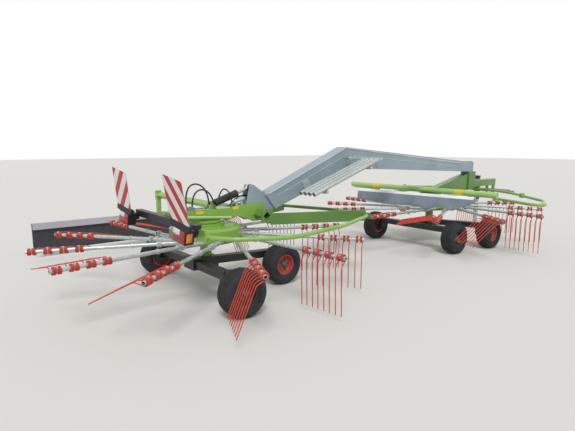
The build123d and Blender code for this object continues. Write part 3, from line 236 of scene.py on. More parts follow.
@dataclass(frozen=True)
class Finish:
    """One finish: its base and second colour, gloss, grain and dust."""

    name: str
    base: Colour
    second: Colour
    mottle_mm: float = 400.0
    mottle: float = 0.35
    roughness: float = 0.4
    rough_spread: float = 0.12
    metallic: float = 0.0
    coat: float = 0.0
    grain_mm: float = 3.0
    bump: float = 0.05
    dust: float = 0.25
    dust_height: float = 0.5
    dust_mm: float = 90.0
    wear_mm: float = 60.0
    coat_roughness: float = 0.12

    def coordinates(self, tree: bpy.types.NodeTree) -> bpy.types.NodeSocket:
        """Object coordinates, which stay with the piece."""
        return add_node(tree, "ShaderNodeTexCoord").outputs["Object"]

    def noise(
        self,
        tree: bpy.types.NodeTree,
        where: bpy.types.NodeSocket,
        size_mm: float,
        detail: float = 4.0,
    ) -> bpy.types.NodeSocket:
        """Noise with features of a real size.

        Args:
            tree: The material's node tree.
            where: The coordinates, in metres.
            size_mm: The size of one feature.
            detail: How many finer layers it has.

        Returns:
            A value from 0 to 1.
        """
        inputs = {"Vector": where, "Scale": 1000.0 / size_mm, "Detail": detail}
        return add_node(tree, "ShaderNodeTexNoise", None, inputs).outputs["Fac"]

    def colour(
        self, tree: bpy.types.NodeTree, where: bpy.types.NodeSocket
    ) -> bpy.types.NodeSocket:
        """Base colour, mottled towards the second colour.

        Args:
            tree: The material's node tree.
            where: The coordinates, in metres.

        Returns:
            The colour socket.
        """
        mottle = self.noise(tree, where, self.mottle_mm)
        share = ramp(tree, mottle, (0.4, 0.75), (0.0, self.mottle))
        return mixed(tree, share, linear(self.base), linear(self.second))

    def dusted(
        self,
        tree: bpy.types.NodeTree,
        where: bpy.types.NodeSocket,
        clean: bpy.types.NodeSocket,
    ) -> bpy.types.NodeSocket:
        """Dust, thicker near the ground and on faces that look up.

        Args:
            tree: The material's node tree.
            where: The coordinates, in metres.
            clean: The colour without dust.

        Returns:
            The colour with dust.
        """
        height = add_node(tree, "ShaderNodeSeparateXYZ", None, {0: where}).outputs["Z"]
        low = ramp(tree, height, (0.0, self.dust_height), (1.0, 0.25))
        normal = add_node(tree, "ShaderNodeNewGeometry").outputs["Normal"]
        up = add_node(tree, "ShaderNodeSeparateXYZ", None, {0: normal}).outputs["Z"]
        lying = ramp(tree, up, (0.2, 1.0), (0.35, 1.0))
        patches = ramp(tree, self.noise(tree, where, self.dust_mm, 6.0), (0.35, 0.8), (0.0, self.dust))
        share = maths(tree, "MULTIPLY", maths(tree, "MULTIPLY", low, lying), patches)
        return mixed(tree, share, clean, linear(Colour.DUST))

    def build(self) -> bpy.types.Material:
        """Build the material.

        Returns:
            The material with its nodes.
        """
        material = bpy.data.materials.new(self.name)
        material.use_nodes = True
        tree = material.node_tree
        shader = tree.nodes["Principled BSDF"]
        where = self.coordinates(tree)
        tree.links.new(self.dusted(tree, where, self.colour(tree, where)), shader.inputs["Base Color"])
        grain = self.noise(tree, where, self.grain_mm, 3.0)
        least = max(0.05, self.roughness - self.rough_spread)
        most = min(1.0, self.roughness + self.rough_spread)
        rough = ramp(tree, self.noise(tree, where, self.wear_mm, 5.0), (0.0, 1.0), (least, most))
        tree.links.new(rough, shader.inputs["Roughness"])
        bump = add_node(
            tree,
            "ShaderNodeBump",
            None,
            {"Height": grain, "Strength": self.bump, "Distance": self.grain_mm / 1000},
        )
        tree.links.new(bump.outputs[0], shader.inputs["Normal"])
        shader.inputs["Metallic"].default_value = self.metallic
        shader.inputs["Coat Weight"].default_value = self.coat
        shader.inputs["Coat Roughness"].default_value = self.coat_roughness
        self.refine(material)
        return material

    def refine(self, material: bpy.types.Material) -> None:
        """Add what one finish alone has; the plain finish adds nothing."""


@dataclass(frozen=True)
class BoardFinish(Finish):
    """Retroreflective sheeting with diagonal stripes across one board."""

    across: Point = (0.0, 1.0, 1.0)
    start: float = 0.0
    pitch: float = 0.167
    red_share: float = 0.47

    def colour(
        self, tree: bpy.types.NodeTree, where: bpy.types.NodeSocket
    ) -> bpy.types.NodeSocket:
        """Red and white stripes, from the distance along one slanted direction."""
        along = add_node(
            tree, "ShaderNodeVectorMath", {"operation": "DOT_PRODUCT"}, {0: where, 1: self.across}
        )
        turns = maths(
            tree, "DIVIDE", maths(tree, "SUBTRACT", along.outputs["Value"], self.start), self.pitch
        )
        red = maths(tree, "LESS_THAN", maths(tree, "FLOORED_MODULO", turns, 1.0), self.red_share)
        return mixed(tree, red, linear(self.base), linear(self.second))


@dataclass(frozen=True)
class LensFinish(Finish):
    """Moulded lamp glass with fine upright ribs behind a smooth face."""

    rib_mm: float = 7.0

    def refine(self, material: bpy.types.Material) -> None:
        """Ribs across the lamp, which follow its width."""
        tree = material.node_tree
        shader = tree.nodes["Principled BSDF"]
        parts = add_node(tree, "ShaderNodeSeparateXYZ", None, {0: self.coordinates(tree)})
        rate = 2000 * math.pi / self.rib_mm
        wave = maths(tree, "SINE", maths(tree, "MULTIPLY", parts.outputs["Y"], rate))
        bump = add_node(
            tree, "ShaderNodeBump", None, {"Height": wave, "Strength": 0.35, "Distance": 0.001}
        )
        tree.links.new(bump.outputs[0], shader.inputs["Normal"])


@dataclass(frozen=True)
class SpangleFinish(Finish):
    """Hot-dip zinc: a crystal pattern of slightly different greys."""

    spangle_mm: float = 14.0

    def colour(
        self, tree: bpy.types.NodeTree, where: bpy.types.NodeSocket
    ) -> bpy.types.NodeSocket:
        """Each crystal has its own grey between the two colours."""
        cells = add_node(
            tree, "ShaderNodeTexVoronoi", None, {"Vector": where, "Scale": 1000 / self.spangle_mm}
        )
        grey = add_node(tree, "ShaderNodeSeparateColor", None, {0: cells.outputs["Color"]})
        streak = self.noise(tree, where, self.mottle_mm)
        share = maths(tree, "MULTIPLY", grey.outputs[0], streak)
        return mixed(tree, share, linear(self.base), linear(self.second))


@dataclass(frozen=True)
class WovenFinish(Finish):
    """Coated woven cloth: a fine over-and-under weave in its bump."""

    thread_mm: float = 4.0

    def refine(self, material: bpy.types.Material) -> None:
        """Weave drawn coarser than the real 1 mm threads, so that it shows."""
        tree = material.node_tree
        shader = tree.nodes["Principled BSDF"]
        where = self.coordinates(tree)
        parts = add_node(tree, "ShaderNodeSeparateXYZ", None, {0: where})
        rate = 1000 * math.pi / self.thread_mm
        waves = [
            maths(tree, "SINE", maths(tree, "MULTIPLY", parts.outputs[axis], rate)) for axis in ("Y", "Z")
        ]
        weave = maths(tree, "MULTIPLY", *waves)
        bump = add_node(
            tree, "ShaderNodeBump", None, {"Height": weave, "Strength": 0.25, "Distance": 0.0008}
        )
        tree.links.new(bump.outputs[0], shader.inputs["Normal"])
        shader.inputs["Sheen Weight"].default_value = 0.2


class Finishes:
    """Every material of the machine, built once."""

    def __init__(self) -> None:
        """Build all materials."""
        self.green = Finish(
            "green two-pack enamel", Colour.GREEN, Colour.GREEN_MOTTLE_AND_HIGHLIGHT, coat=0.35, roughness=0.34, dust=0.3
        ).build()
        # The frame's green lightened as painted highlight, for the cross tube and the carrier's side rod.
        self.green_painted_highlight = Finish(
            "green enamel lightened as painted highlight on tube", Colour.GREEN_MOTTLE_AND_HIGHLIGHT, Colour.GREEN, coat=0.35, roughness=0.34
        ).build()
        # Light grey painted highlight for the rods along the boom's top edges and fold line.
        self.boom_painted_highlight = Finish(
            "light grey painted highlight along boom edges", Colour.BOOM_MOTTLE_AND_HIGHLIGHT, Colour.CANVAS_EDGE, coat=0.25, roughness=0.36
        ).build()
        # The frame's own green darkened as painted shade, for the guard frame, front carrier and
        # headstock.
        self.green_painted_shade = Finish(
            "green two-pack enamel darkened as painted shade", Colour.GREEN_PAINTED_SHADE, Colour.GREEN, coat=0.35, roughness=0.34
        ).build()
        self.boom = Finish(
            "grey enamel on folded plate",
            Colour.BOOM,
            Colour.BOOM_MOTTLE_AND_HIGHLIGHT,
            coat=0.25,
            roughness=0.36,
            dust=0.2,
        ).build()
        self.chassis = Finish(
            "black chassis paint", Colour.CHASSIS, Colour.BLACK, roughness=0.45, dust=0.3, grain_mm=2.0
        ).build()
        # Zinc crystals make the tubes look patchy and cool, never mirror bright.
        self.zinc = SpangleFinish(
            "hot-dip galvanised steel",
            Colour.GALVANISED,
            Colour.GALVANISED_DARK,
            metallic=0.55,
            roughness=0.38,
            dust=0.15,
        ).build()
        self.tine = Finish(
            "red powder-coated spring steel",
            Colour.TINE,
            Colour.TINE_DARK,
            mottle_mm=70.0,
            mottle=0.5,
            roughness=0.45,
            dust=0.25,
            dust_height=0.3,
        ).build()
        self.rim = Finish(
            "red wheel enamel", Colour.RIM, Colour.TINE_DARK, roughness=0.42, dust=0.5, dust_height=0.4
        ).build()
        # Carbon-black rubber: no gloss, a dusty crown and blacker side walls.
        self.tyre = Finish(
            "moulded tyre rubber",
            Colour.TYRE,
            Colour.TYRE_DUST,
            mottle_mm=120.0,
            mottle=0.3,
            roughness=0.82,
            rough_spread=0.08,
            grain_mm=1.5,
            bump=0.12,
            dust=0.24,
            dust_height=0.4,
        ).build()
        self.canvas = WovenFinish(
            "coated canvas", Colour.CANVAS, Colour.CANVAS_DARK, mottle_mm=180.0, mottle=0.6, roughness=0.75
        ).build()
        self.canvas_edge = WovenFinish(
            "white canvas hem", Colour.CANVAS_EDGE, Colour.CANVAS, roughness=0.7, mottle=0.2
        ).build()
        self.rubber = WovenFinish(
            "black swath sheeting", Colour.RUBBER, Colour.CHASSIS, roughness=0.6, dust=0.45, thread_mm=6.0
        ).build()
        self.strip = Finish(
            "grey sheeting strip", Colour.RUBBER_STRIP, Colour.CANVAS_DARK, roughness=0.6
        ).build()
        self.rubber_hem = Finish(
            "welded hem of the swath sheeting", Colour.CHASSIS, Colour.RUBBER, roughness=0.7, dust=0.7
        ).build()
        self.black = Finish(
            "moulded black plastic", Colour.BLACK, Colour.CHASSIS, roughness=0.5, dust=0.35, grain_mm=1.0
        ).build()
        self.hose = Finish(
            "black hydraulic hose", Colour.BLACK, Colour.CHASSIS, roughness=0.45, dust=0.25, grain_mm=1.5
        ).build()
        self.steel = Finish(
            "machined steel", Colour.STEEL, Colour.GALVANISED_DARK, metallic=0.9, roughness=0.35
        ).build()
        self.hub = Finish(
            "dusty black hub casting",
            Colour.TYRE_DUST,
            Colour.GALVANISED_DARK,
            mottle_mm=60.0,
            roughness=0.55,
        ).build()
        self.chrome = Finish(
            "hard chrome",
            Colour.CHROME,
            Colour.STEEL,
            metallic=1.0,
            roughness=0.14,
            rough_spread=0.05,
            dust=0.1,
        ).build()
        self.amber = Finish("amber reflector", Colour.AMBER, Colour.AMBER, roughness=0.2, coat=0.6).build()
        self.lens_red = LensFinish(
            "red lamp lens", Colour.LENS_RED, Colour.BOARD_RED, roughness=0.18, coat=0.6, dust=0.1
        ).build()
        self.lens_clear = LensFinish(
            "clear lamp lens", Colour.LENS_CLEAR, Colour.CANVAS_EDGE, roughness=0.18, coat=0.6, dust=0.1
        ).build()
        self.sticker = Finish(
            "blank yellow film", Colour.STICKER, Colour.STICKER, roughness=0.4, dust=0.2
        ).build()


def to_mesh(name: str, source: bpy.types.Object) -> bpy.types.Object:
    """Apply an object's modifiers and curve bevel into a new plain mesh object.

    Args:
        name: The new object's name.
        source: The object to read; it is removed afterwards.

    Returns:
        The plain mesh object, at the origin.
    """
    bpy.context.view_layer.update()
    graph = bpy.context.evaluated_depsgraph_get()
    mesh = bpy.data.meshes.new_from_object(source.evaluated_get(graph), depsgraph=graph)
    made = bpy.data.objects.new(name, mesh)
    bpy.context.scene.collection.objects.link(made)
    bpy.data.objects.remove(source)
    return made


def from_bmesh(name: str, shape: bmesh.types.BMesh, smooth_deg: float = 40.0) -> bpy.types.Object:
    """Turn a bmesh into an object with outward normals and smooth shading by angle.

    Args:
        name: The object's name.
        shape: The bmesh, which is freed.
        smooth_deg: Edges sharper than this stay crisp.

    Returns:
        The mesh object.
    """
    bmesh.ops.remove_doubles(shape, verts=shape.verts, dist=1e-6)
    bmesh.ops.recalc_face_normals(shape, faces=shape.faces)
    for face in shape.faces:
        face.smooth = True
    limit = math.radians(smooth_deg)
    for edge in shape.edges:
        if len(edge.link_faces) == 2 and edge.calc_face_angle(0.0) > limit:
            edge.smooth = False
    mesh = bpy.data.meshes.new(name)
    shape.to_mesh(mesh)
    shape.free()
    made = bpy.data.objects.new(name, mesh)
    bpy.context.scene.collection.objects.link(made)
    return made


def dress(
    piece: bpy.types.Object,
    materials: Sequence[bpy.types.Material],
    body: str,
    nodes: Iterable[str] = (),
) -> bpy.types.Object:
    """Give a piece its materials, its body and the nodes that it stands for.

    Args:
        piece: The mesh object.
        materials: Its material slots, in order.
        body: The body that it rides on.
        nodes: The CAD nodes that it replaces.

    Returns:
        The same object.
    """
    if not piece.data.materials:
        for material in materials:
            piece.data.materials.append(material)
    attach(piece, body)
    if nodes:
        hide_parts(*nodes)
    LOG.info("%s: %d faces on %s", piece.name, len(piece.data.polygons), body)
    return piece


def lathe(
    shape: bmesh.types.BMesh,
    profile: Sequence[tuple[float, float]],
    steps: int,
    place: Matrix,
    wobble: Callable[[int, int], float] | None = None,
) -> None:
    """Spin a closed profile about the local Y axis and add it to a bmesh.

    Args:
        shape: The bmesh to add to.
        profile: Points as (across, radius).
        steps: How many steps make a turn.
        place: Where the lathe's frame stands.
        wobble: Extra across by (step, point), for treads that zigzag.
    """
    rings = []
    for step in range(steps):
        angle = 2 * math.pi * step / steps
        ring = []
        for index, (across, radius) in enumerate(profile):
            extra = wobble(step, index) if wobble else 0.0
            spot = Vector((radius * math.cos(angle), across + extra, radius * math.sin(angle)))
            ring.append(shape.verts.new(place @ spot))
        rings.append(ring)
    count = len(profile)
    for step in range(steps):
        here, there = rings[step], rings[(step + 1) % steps]
        for index in range(count):
            after = (index + 1) % count
            shape.faces.new((here[index], here[after], there[after], there[index]))


def rod(
    shape: bmesh.types.BMesh, start: Vector, end: Vector, radius: float, sides: int = 16, cap: float = 0.0
) -> None:
    """Add a round bar, with a small chamfer at both ends, to a bmesh.

    Args:
        shape: The bmesh to add to.
        start: Middle of the first end.
        end: Middle of the other end.
        radius: The bar's radius.
        sides: Its facets round.
        cap: The chamfer's size.
    """
    span = end - start
    turn = span.to_track_quat("Z", "Y").to_matrix().to_4x4()
    place = Matrix.Translation(start) @ turn
    length = span.length
    levels = [(0.0, radius - cap), (cap, radius), (length - cap, radius), (length, radius - cap)]
    if cap <= 0:
        levels = [(0.0, radius), (length, radius)]
    rings = []
    for height, size in levels:
        ring = []
        for side in range(sides):
            angle = 2 * math.pi * side / sides
            spot = Vector((size * math.cos(angle), size * math.sin(angle), height))
            ring.append(shape.verts.new(place @ spot))
        rings.append(ring)
    for low, high in zip(rings, rings[1:]):
        for side in range(sides):
            after = (side + 1) % sides
            shape.faces.new((low[side], low[after], high[after], high[side]))
    shape.faces.new(list(reversed(rings[0])))
    shape.faces.new(rings[-1])


def brick(shape: bmesh.types.BMesh, low: Vector, high: Vector, place: Matrix | None = None) -> None:
    """Add a box between two corners to a bmesh.

    Args:
        shape: The bmesh to add to.
        low: Lowest corner.
        high: Highest corner.
        place: Where the box's frame stands.
    """
    middle = (low + high) / 2
    size = high - low
    frame = Matrix.Translation(middle) @ Matrix.Diagonal((size.x, size.y, size.z, 1.0))
    bmesh.ops.create_cube(shape, size=1.0, matrix=(place or Matrix.Identity(4)) @ frame)


def scatter(
    name: str, unit: bpy.types.Object, places: Sequence[tuple[Point, Point]], material: bpy.types.Material
) -> bpy.types.Object:
    """Repeat a unit at given places with Geometry Nodes, and realise it.

    Args:
        name: The new object's name.
        unit: The object to repeat; it is kept.
        places: Position and Euler turn of each copy.
        material: The copies' material.

    Returns:
        One plain mesh object.
    """
    holder_mesh = bpy.data.meshes.new(name + "_points")
    holder_mesh.from_pydata([place for place, turn in places], [], [])
    turns = holder_mesh.attributes.new("turn", "FLOAT_VECTOR", "POINT")
    turns.data.foreach_set("vector", [v for place, turn in places for v in turn])
    holder = bpy.data.objects.new(name + "_points", holder_mesh)
    bpy.context.scene.collection.objects.link(holder)
    tree = bpy.data.node_groups.new(name + "_repeat", "GeometryNodeTree")
    tree.interface.new_socket("Geometry", in_out="INPUT", socket_type="NodeSocketGeometry")
    tree.interface.new_socket("Unit", in_out="INPUT", socket_type="NodeSocketObject")
    tree.interface.new_socket("Finish", in_out="INPUT", socket_type="NodeSocketMaterial")
    tree.interface.new_socket("Geometry", in_out="OUTPUT", socket_type="NodeSocketGeometry")
    inside = add_node(tree, "NodeGroupInput")
    unit_info = add_node(tree, "GeometryNodeObjectInfo", None, {"Object": inside.outputs["Unit"]})
    turn = add_node(
        tree, "GeometryNodeInputNamedAttribute", {"data_type": "FLOAT_VECTOR"}, {"Name": "turn"}
    )
    copies = add_node(
        tree,
        "GeometryNodeInstanceOnPoints",
        None,
        {
            "Points": inside.outputs["Geometry"],
            "Instance": unit_info.outputs["Geometry"],
            "Rotation": turn.outputs["Attribute"],
        },
    )
    real = add_node(tree, "GeometryNodeRealizeInstances", None, {0: copies.outputs[0]})
    done = add_node(
        tree,
        "GeometryNodeSetMaterial",
        None,
        {"Geometry": real.outputs[0], "Material": inside.outputs["Finish"]},
    )
    add_node(tree, "NodeGroupOutput", None, {0: done.outputs[0]})
    modifier = holder.modifiers.new("repeat", "NODES")
    modifier.node_group = tree
    keys = {item.name: item.identifier for item in tree.interface.items_tree if item.in_out == "INPUT"}
    modifier[keys["Unit"]] = unit
    modifier[keys["Finish"]] = material
    made = to_mesh(name, holder)
    bpy.data.node_groups.remove(tree)
    return made


def wire(name: str, points: Sequence[Vector], radius: float, sides: int = 3) -> bpy.types.Object:
    """A round wire along points, as a mesh.

    Args:
        name: The object's name.
        points: The wire's middle line.
        radius: The wire's radius.
        sides: The curve's bevel resolution.

    Returns:
        The mesh object.
    """
    data = bpy.data.curves.new(name, "CURVE")
    data.dimensions = "3D"
    data.bevel_depth = radius
    data.bevel_resolution = sides
    data.use_fill_caps = True
    spline = data.splines.new("POLY")
    spline.points.add(len(points) - 1)
    for index, spot in enumerate(points):
        spline.points[index].co = (spot.x, spot.y, spot.z, 1.0)
    source = bpy.data.objects.new(name + "_line", data)
    bpy.context.scene.collection.objects.link(source)
    made = to_mesh(name, source)
    for face in made.data.polygons:
        face.use_smooth = True
    return made


@dataclass
class Rotor:
    """A bell's twelve tine arms, set off to one side of its axis, with wound spring tines."""

    name: str
    first_bearing: float
    twists: Sequence[float]
    finishes: Finishes
    hub_height: float = 0.600
    droop_deg: float = 0.4
    arm_offset: float = 0.280
    root: float = 0.118
    clamp: float = 0.461
    joint: float = 0.507
    stop_collar: float = 0.726
    tip: float = 1.677
    inner_d: float = 0.046
    outer_d: float = 0.038
    wall: float = 0.004
    coil_r: float = 0.0302
    wire_d: float = 0.0095
    turns: float = 2.5
    coil_outer: float = 0.0332
    first_tine: float = 1.2135
    tine_pitch: float = 0.136
    tine_pairs: int = 4
    # Rings of the clamp: how far on from its start, how long and how wide.
    clamp_rings: Sequence[Point] = ((0.0, 0.018, 0.066), (0.026, 0.020, 0.066), (0.016, 0.012, 0.056))
    stop_ring: tuple[float, float] = (0.016, 0.052)
    cheek: Point = (0.038, 0.010, 0.024)
    cheek_low: float = 0.026
    cheek_apart: float = 0.009
    bolt_high: float = 0.039
    lip: float = 0.002
    bore: float = 0.1
    coil_start_deg: float = -41.4
    coil_steps: int = 16
    coil_play: float = 0.0004
    knee: Point = (0, -0.035, -0.085)
    tine_end: Point = (0, -0.020, -0.5290)
    knee_bend: float = 0.026
    saddle_deg: float = 138.6

    def places(self) -> list[tuple[Point, Point]]:
        """Where each arm stands: its foot beside the rotor's axis, and its turn.

        Returns:
            One place for each arm.
        """
        low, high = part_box(f"{self.name}_bell")
        centre = (low + high) / 2
        spots = []
        for count, twist in enumerate(self.twists):
            bearing = math.radians(self.first_bearing + count * 360 / len(self.twists))
            turn = (math.radians(-twist), math.radians(self.droop_deg), bearing)
            foot = (
                centre.x - self.arm_offset * math.sin(bearing),
                centre.y + self.arm_offset * math.cos(bearing),
                self.hub_height,
            )
            spots.append((foot, turn))
        return spots

    def arm_steel(self) -> bpy.types.Object:
        """One arm: the bearing tube, the plug-in outer tube, its clamp and its stop collar."""
        shape = bmesh.new()
        outer, inner = self.outer_d / 2, self.outer_d / 2 - self.wall
        bore = [
            (self.joint, outer),
            (self.tip - self.lip, outer),
            (self.tip, outer - self.lip),
            (self.tip, inner),
            (self.tip - self.bore, inner),
            (self.tip - self.bore, 0.001),
            (self.joint, 0.001),
        ]
        lathe(shape, bore, 24, Matrix.Rotation(math.radians(-90), 4, "Z"))
        along = Vector((1, 0, 0))
        rod(shape, along * self.root, along * self.joint, self.inner_d / 2, 24, self.lip)
        rings = [(self.clamp + ahead, length, size) for ahead, length, size in self.clamp_rings]
        for start, length, size in (*rings, (self.stop_collar, *self.stop_ring)):
            rod(shape, along * start, along * (start + length), size / 2, 24, self.lip)
        # Cheeks of the split clamp, with the bolt that closes them and its head and nut.
        for side in (-1, 1):
            low = Vector((self.clamp + 0.002, side * self.cheek_apart - 0.005, self.cheek_low))
            brick(shape, low, low + Vector(self.cheek))
        middle, high = self.clamp + 0.021, self.bolt_high
        for start, end, radius, sides in (
            (-0.026, 0.024, 0.005, 12),
            (-0.022, -0.014, 0.0095, 6),
            (0.014, 0.022, 0.0095, 6),
        ):
            rod(shape, Vector((middle, start, high)), Vector((middle, end, high)), radius, sides, 0.001)
        return from_bmesh("arm_steel", shape)

    def spring(self) -> bpy.types.Object:
        """One double tine: two coils wound round the tube, joined behind, and two bent rods."""
        steps, bend = self.coil_steps, self.knee_bend
        first = math.radians(self.coil_start_deg)
        tangent = self.coil_r * Vector((0, math.cos(first), math.sin(first)))
        knee, tip = Vector(self.knee), Vector(self.tine_end)
        into = (knee - tangent).normalized()
        away = (tip - knee).normalized()
        leg = [tip, knee + away * 0.30, knee + away * 0.12, knee + away * 0.05, knee + away * bend]
        for share in (0.25, 0.5, 0.75):
            near, far = knee + away * bend, knee - into * bend
            leg.append((1 - share) ** 2 * near + 2 * share * (1 - share) * knee + share**2 * far)
        leg += [knee - into * bend, knee - into * 0.06]
        pitch = self.wire_d + self.coil_play
        line = [spot + Vector((self.coil_outer, 0, 0)) for spot in leg]
        count = int(self.turns * steps)
        for step in range(count + 1):
            share = step / steps
            angle = first + 2 * math.pi * share
            line.append(
                Vector((
                    self.coil_outer - pitch * share,
                    self.coil_r * math.cos(angle),
                    self.coil_r * math.sin(angle),
                ))
            )
        last = line[-1]
        line.append(Vector((last.x * 0.55, last.y * 1.06, last.z * 0.9)))
        mirrored = [Vector((-spot.x, spot.y, spot.z)) for spot in reversed(line)]
        return wire("spring", line + mirrored, self.wire_d / 2, 2)

    def saddle(self) -> bpy.types.Object:
        """The bolted saddle that holds a double tine's middle loop to the tube."""
        shape = bmesh.new()
        turn = Matrix.Rotation(math.radians(self.saddle_deg - 90), 4, "X")
        brick(shape, Vector((-0.0085, -0.012, 0.016)), Vector((0.0085, 0.012, 0.034)), turn)
        # The bolt's head above the saddle, and its nut under the tube.
        for low, high in ((0.033, 0.042), (-0.030, -0.018)):
            rod(shape, turn @ Vector((0, 0, low)), turn @ Vector((0, 0, high)), 0.0085, 6, 0.001)
        return from_bmesh("saddle", shape)

    def build(self) -> None:
        """Build the arms' tubes, their saddles and their springs, all on the rotor's body."""
        body = f"{self.name}_rotor"
        node = f"{self.name}_tine_arms"
        rows = [
            ((self.first_tine + pair * self.tine_pitch, 0.0, 0.0), (0.0, 0.0, 0.0))
            for pair in range(self.tine_pairs)
        ]
        steel_unit, spring_unit, saddle_unit = self.arm_steel(), self.spring(), self.saddle()
        arm_springs = scatter("arm_springs", spring_unit, rows, self.finishes.tine)
        arm_saddles = scatter("arm_saddles", saddle_unit, rows, self.finishes.zinc)
        places = self.places()
        steel = scatter(f"{self.name}_arm_tubes", steel_unit, places, self.finishes.zinc)
        springs = scatter(f"{self.name}_spring_tines", arm_springs, places, self.finishes.tine)
        saddles = scatter(f"{self.name}_tine_saddles", arm_saddles, places, self.finishes.zinc)
        for unit in (steel_unit, spring_unit, saddle_unit, arm_springs, arm_saddles):
            bpy.data.objects.remove(unit)
        dress(steel, [self.finishes.zinc], body, [node])
        dress(springs, [self.finishes.tine], body)
        dress(saddles, [self.finishes.zinc], body)


@dataclass
class Wheel:
    """An implement tyre with zigzag ribs, on a dished rim with hub and nuts."""

    name: str
    finishes: Finishes
    outward: float
    tyre_r: float = 0.2285
    width: float = 0.212
    rim_r: float = 0.112
    groove: float = 0.008
    steps: int = 120
    nuts: int = 5
    nut_circle: float = 0.057
    nut_size: float = 0.0095
    # Whether the rim's outer side is painted black as shade in its hollow.
    painted_shade_outside: bool = False
    groove_lines: Sequence[float] = (-0.054, -0.018, 0.018, 0.054)
    groove_half: float = 0.006
    groove_floor: float = 0.003
    zigzags: int = 30
    swing: float = 0.005
    crown_drop: float = 0.011
    crown_half: float = 0.084
    crown_power: float = 2.4

    def centre(self) -> Vector:
        """The wheel's middle, from its packed tyre."""
        low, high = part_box(f"{self.name}_tyre")
        return (low + high) / 2

    def tread_profile(self) -> tuple[list[tuple[float, float]], set[int]]:
        """Half-section of the tyre, with four grooves over the crown.

        Returns:
            The profile, and which of its points zigzag.
        """
        half = self.width / 2
        side = [
            (-0.068, self.rim_r - 0.004),
            (-0.079, self.rim_r + 0.006),
            (-half + 0.008, self.rim_r + 0.036),
            (-half + 0.001, self.tyre_r - 0.085),
            (-half + 0.0005, self.tyre_r - 0.062),
            (-half + 0.004, self.tyre_r - 0.040),
            (-half + 0.013, self.tyre_r - 0.022),
            (-half + 0.022, self.tyre_r - 0.013),
        ]
        crown: list[tuple[float, float]] = []
        wavy = set()
        rib_half = (self.groove_lines[1] - self.groove_lines[0]) / 2
        edge, floor = self.groove_half, self.groove_floor

        def crown_r(across: float) -> float:
            """The crown's radius at a distance across."""
            share = abs(across) / self.crown_half
            return self.tyre_r - self.crown_drop * share**self.crown_power

        for middle in self.groove_lines:
            for offset, depth in ((-edge, 0.0), (-floor, 1.0), (floor, 1.0), (edge, 0.0)):
                across = middle + offset
                wavy.add(len(side) + len(crown))
                crown.append((across, crown_r(across) - depth * self.groove))
            if middle != self.groove_lines[-1]:
                across = middle + rib_half
                crown.append((across, crown_r(across)))
        other = [(-across, radius) for across, radius in reversed(side)]
        inside = [(0.05, self.rim_r - 0.004), (-0.05, self.rim_r - 0.004)]
        return side + crown + other + inside, wavy

    def build(self) -> None:
        """Build tyre, rim and hub, all riding on the wheel's body."""
        body = f"{self.name}_wheel"
        place = Matrix.Translation(self.centre())
        profile, wavy = self.tread_profile()
        tooth = self.steps // self.zigzags

        def zigzag(step: int, index: int) -> float:
            """How far a groove point swings to the side at a step."""
            if index not in wavy:
                return 0.0
            phase = (step % (2 * tooth)) / tooth
            return self.swing * (1 - abs(phase - 1) * 2)

        shape = bmesh.new()
        lathe(shape, profile, self.steps, place, zigzag)
        dress(
            from_bmesh(f"{self.name}_tread", shape, 50.0),
            [self.finishes.tyre],
            body,
            [f"{self.name}_tyre"],
        )
        flip = Matrix.Diagonal((1.0, self.outward, 1.0, 1.0))
        rim = bmesh.new()
        # The pressed rim's closed half-section, as (across, radius).
        dish = [
            (-0.079, 0.124), (-0.073, 0.127), (-0.069, 0.121), (-0.068, 0.107), (-0.045, 0.104),
            (-0.02, 0.088), (0.02, 0.088), (0.045, 0.104), (0.068, 0.107), (0.069, 0.121),
            (0.073, 0.127), (0.079, 0.124), (0.074, 0.112), (0.072, 0.101), (0.05, 0.098),
            (0.03, 0.084), (0.03, 0.074), (0.036, 0.066), (0.034, 0.048), (0.026, 0.044),
            (0.022, 0.044), (0.028, 0.066), (0.024, 0.078), (-0.03, 0.084), (-0.05, 0.098),
            (-0.072, 0.101), (-0.074, 0.112),
        ]
        lathe(rim, dish, 64, place @ flip)
        disc = from_bmesh(f"{self.name}_dish", rim)
        # Painted shade: the dish's outer side gets the black chassis finish in place of shade in the rim's
        # hollow.
        if self.painted_shade_outside:
            for face in disc.data.polygons:
                out = (face.center.y - place.translation.y) * self.outward
                face.material_index = 1 if out > -0.02 else 0
        dress(disc, [self.finishes.rim, self.finishes.chassis], body, [f"{self.name}_rim"])
        hub = bmesh.new()
        # The hub casting's half-section: flange, barrel and grease cap.
        barrel = [
            (-0.048, 0.02), (-0.048, 0.036), (-0.04, 0.04), (0.02, 0.042), (0.022, 0.052), (0.034, 0.052),
            (0.036, 0.034), (0.056, 0.031), (0.066, 0.026), (0.07, 0.014), (0.071, 0.001), (0.03, 0.001),
            (0.03, 0.02),
        ]
        lathe(hub, barrel, 40, place @ flip)
        for count in range(self.nuts):
            angle = 2 * math.pi * count / self.nuts
            circle = self.nut_circle
            spot = Vector((circle * math.cos(angle), 0.034, circle * math.sin(angle)))
            top = spot + Vector((0, 0.016, 0))
            rod(hub, place @ flip @ spot, place @ flip @ top, self.nut_size, 6, 0.002)
        dress(from_bmesh(f"{self.name}_hub", hub), [self.finishes.hub], body)


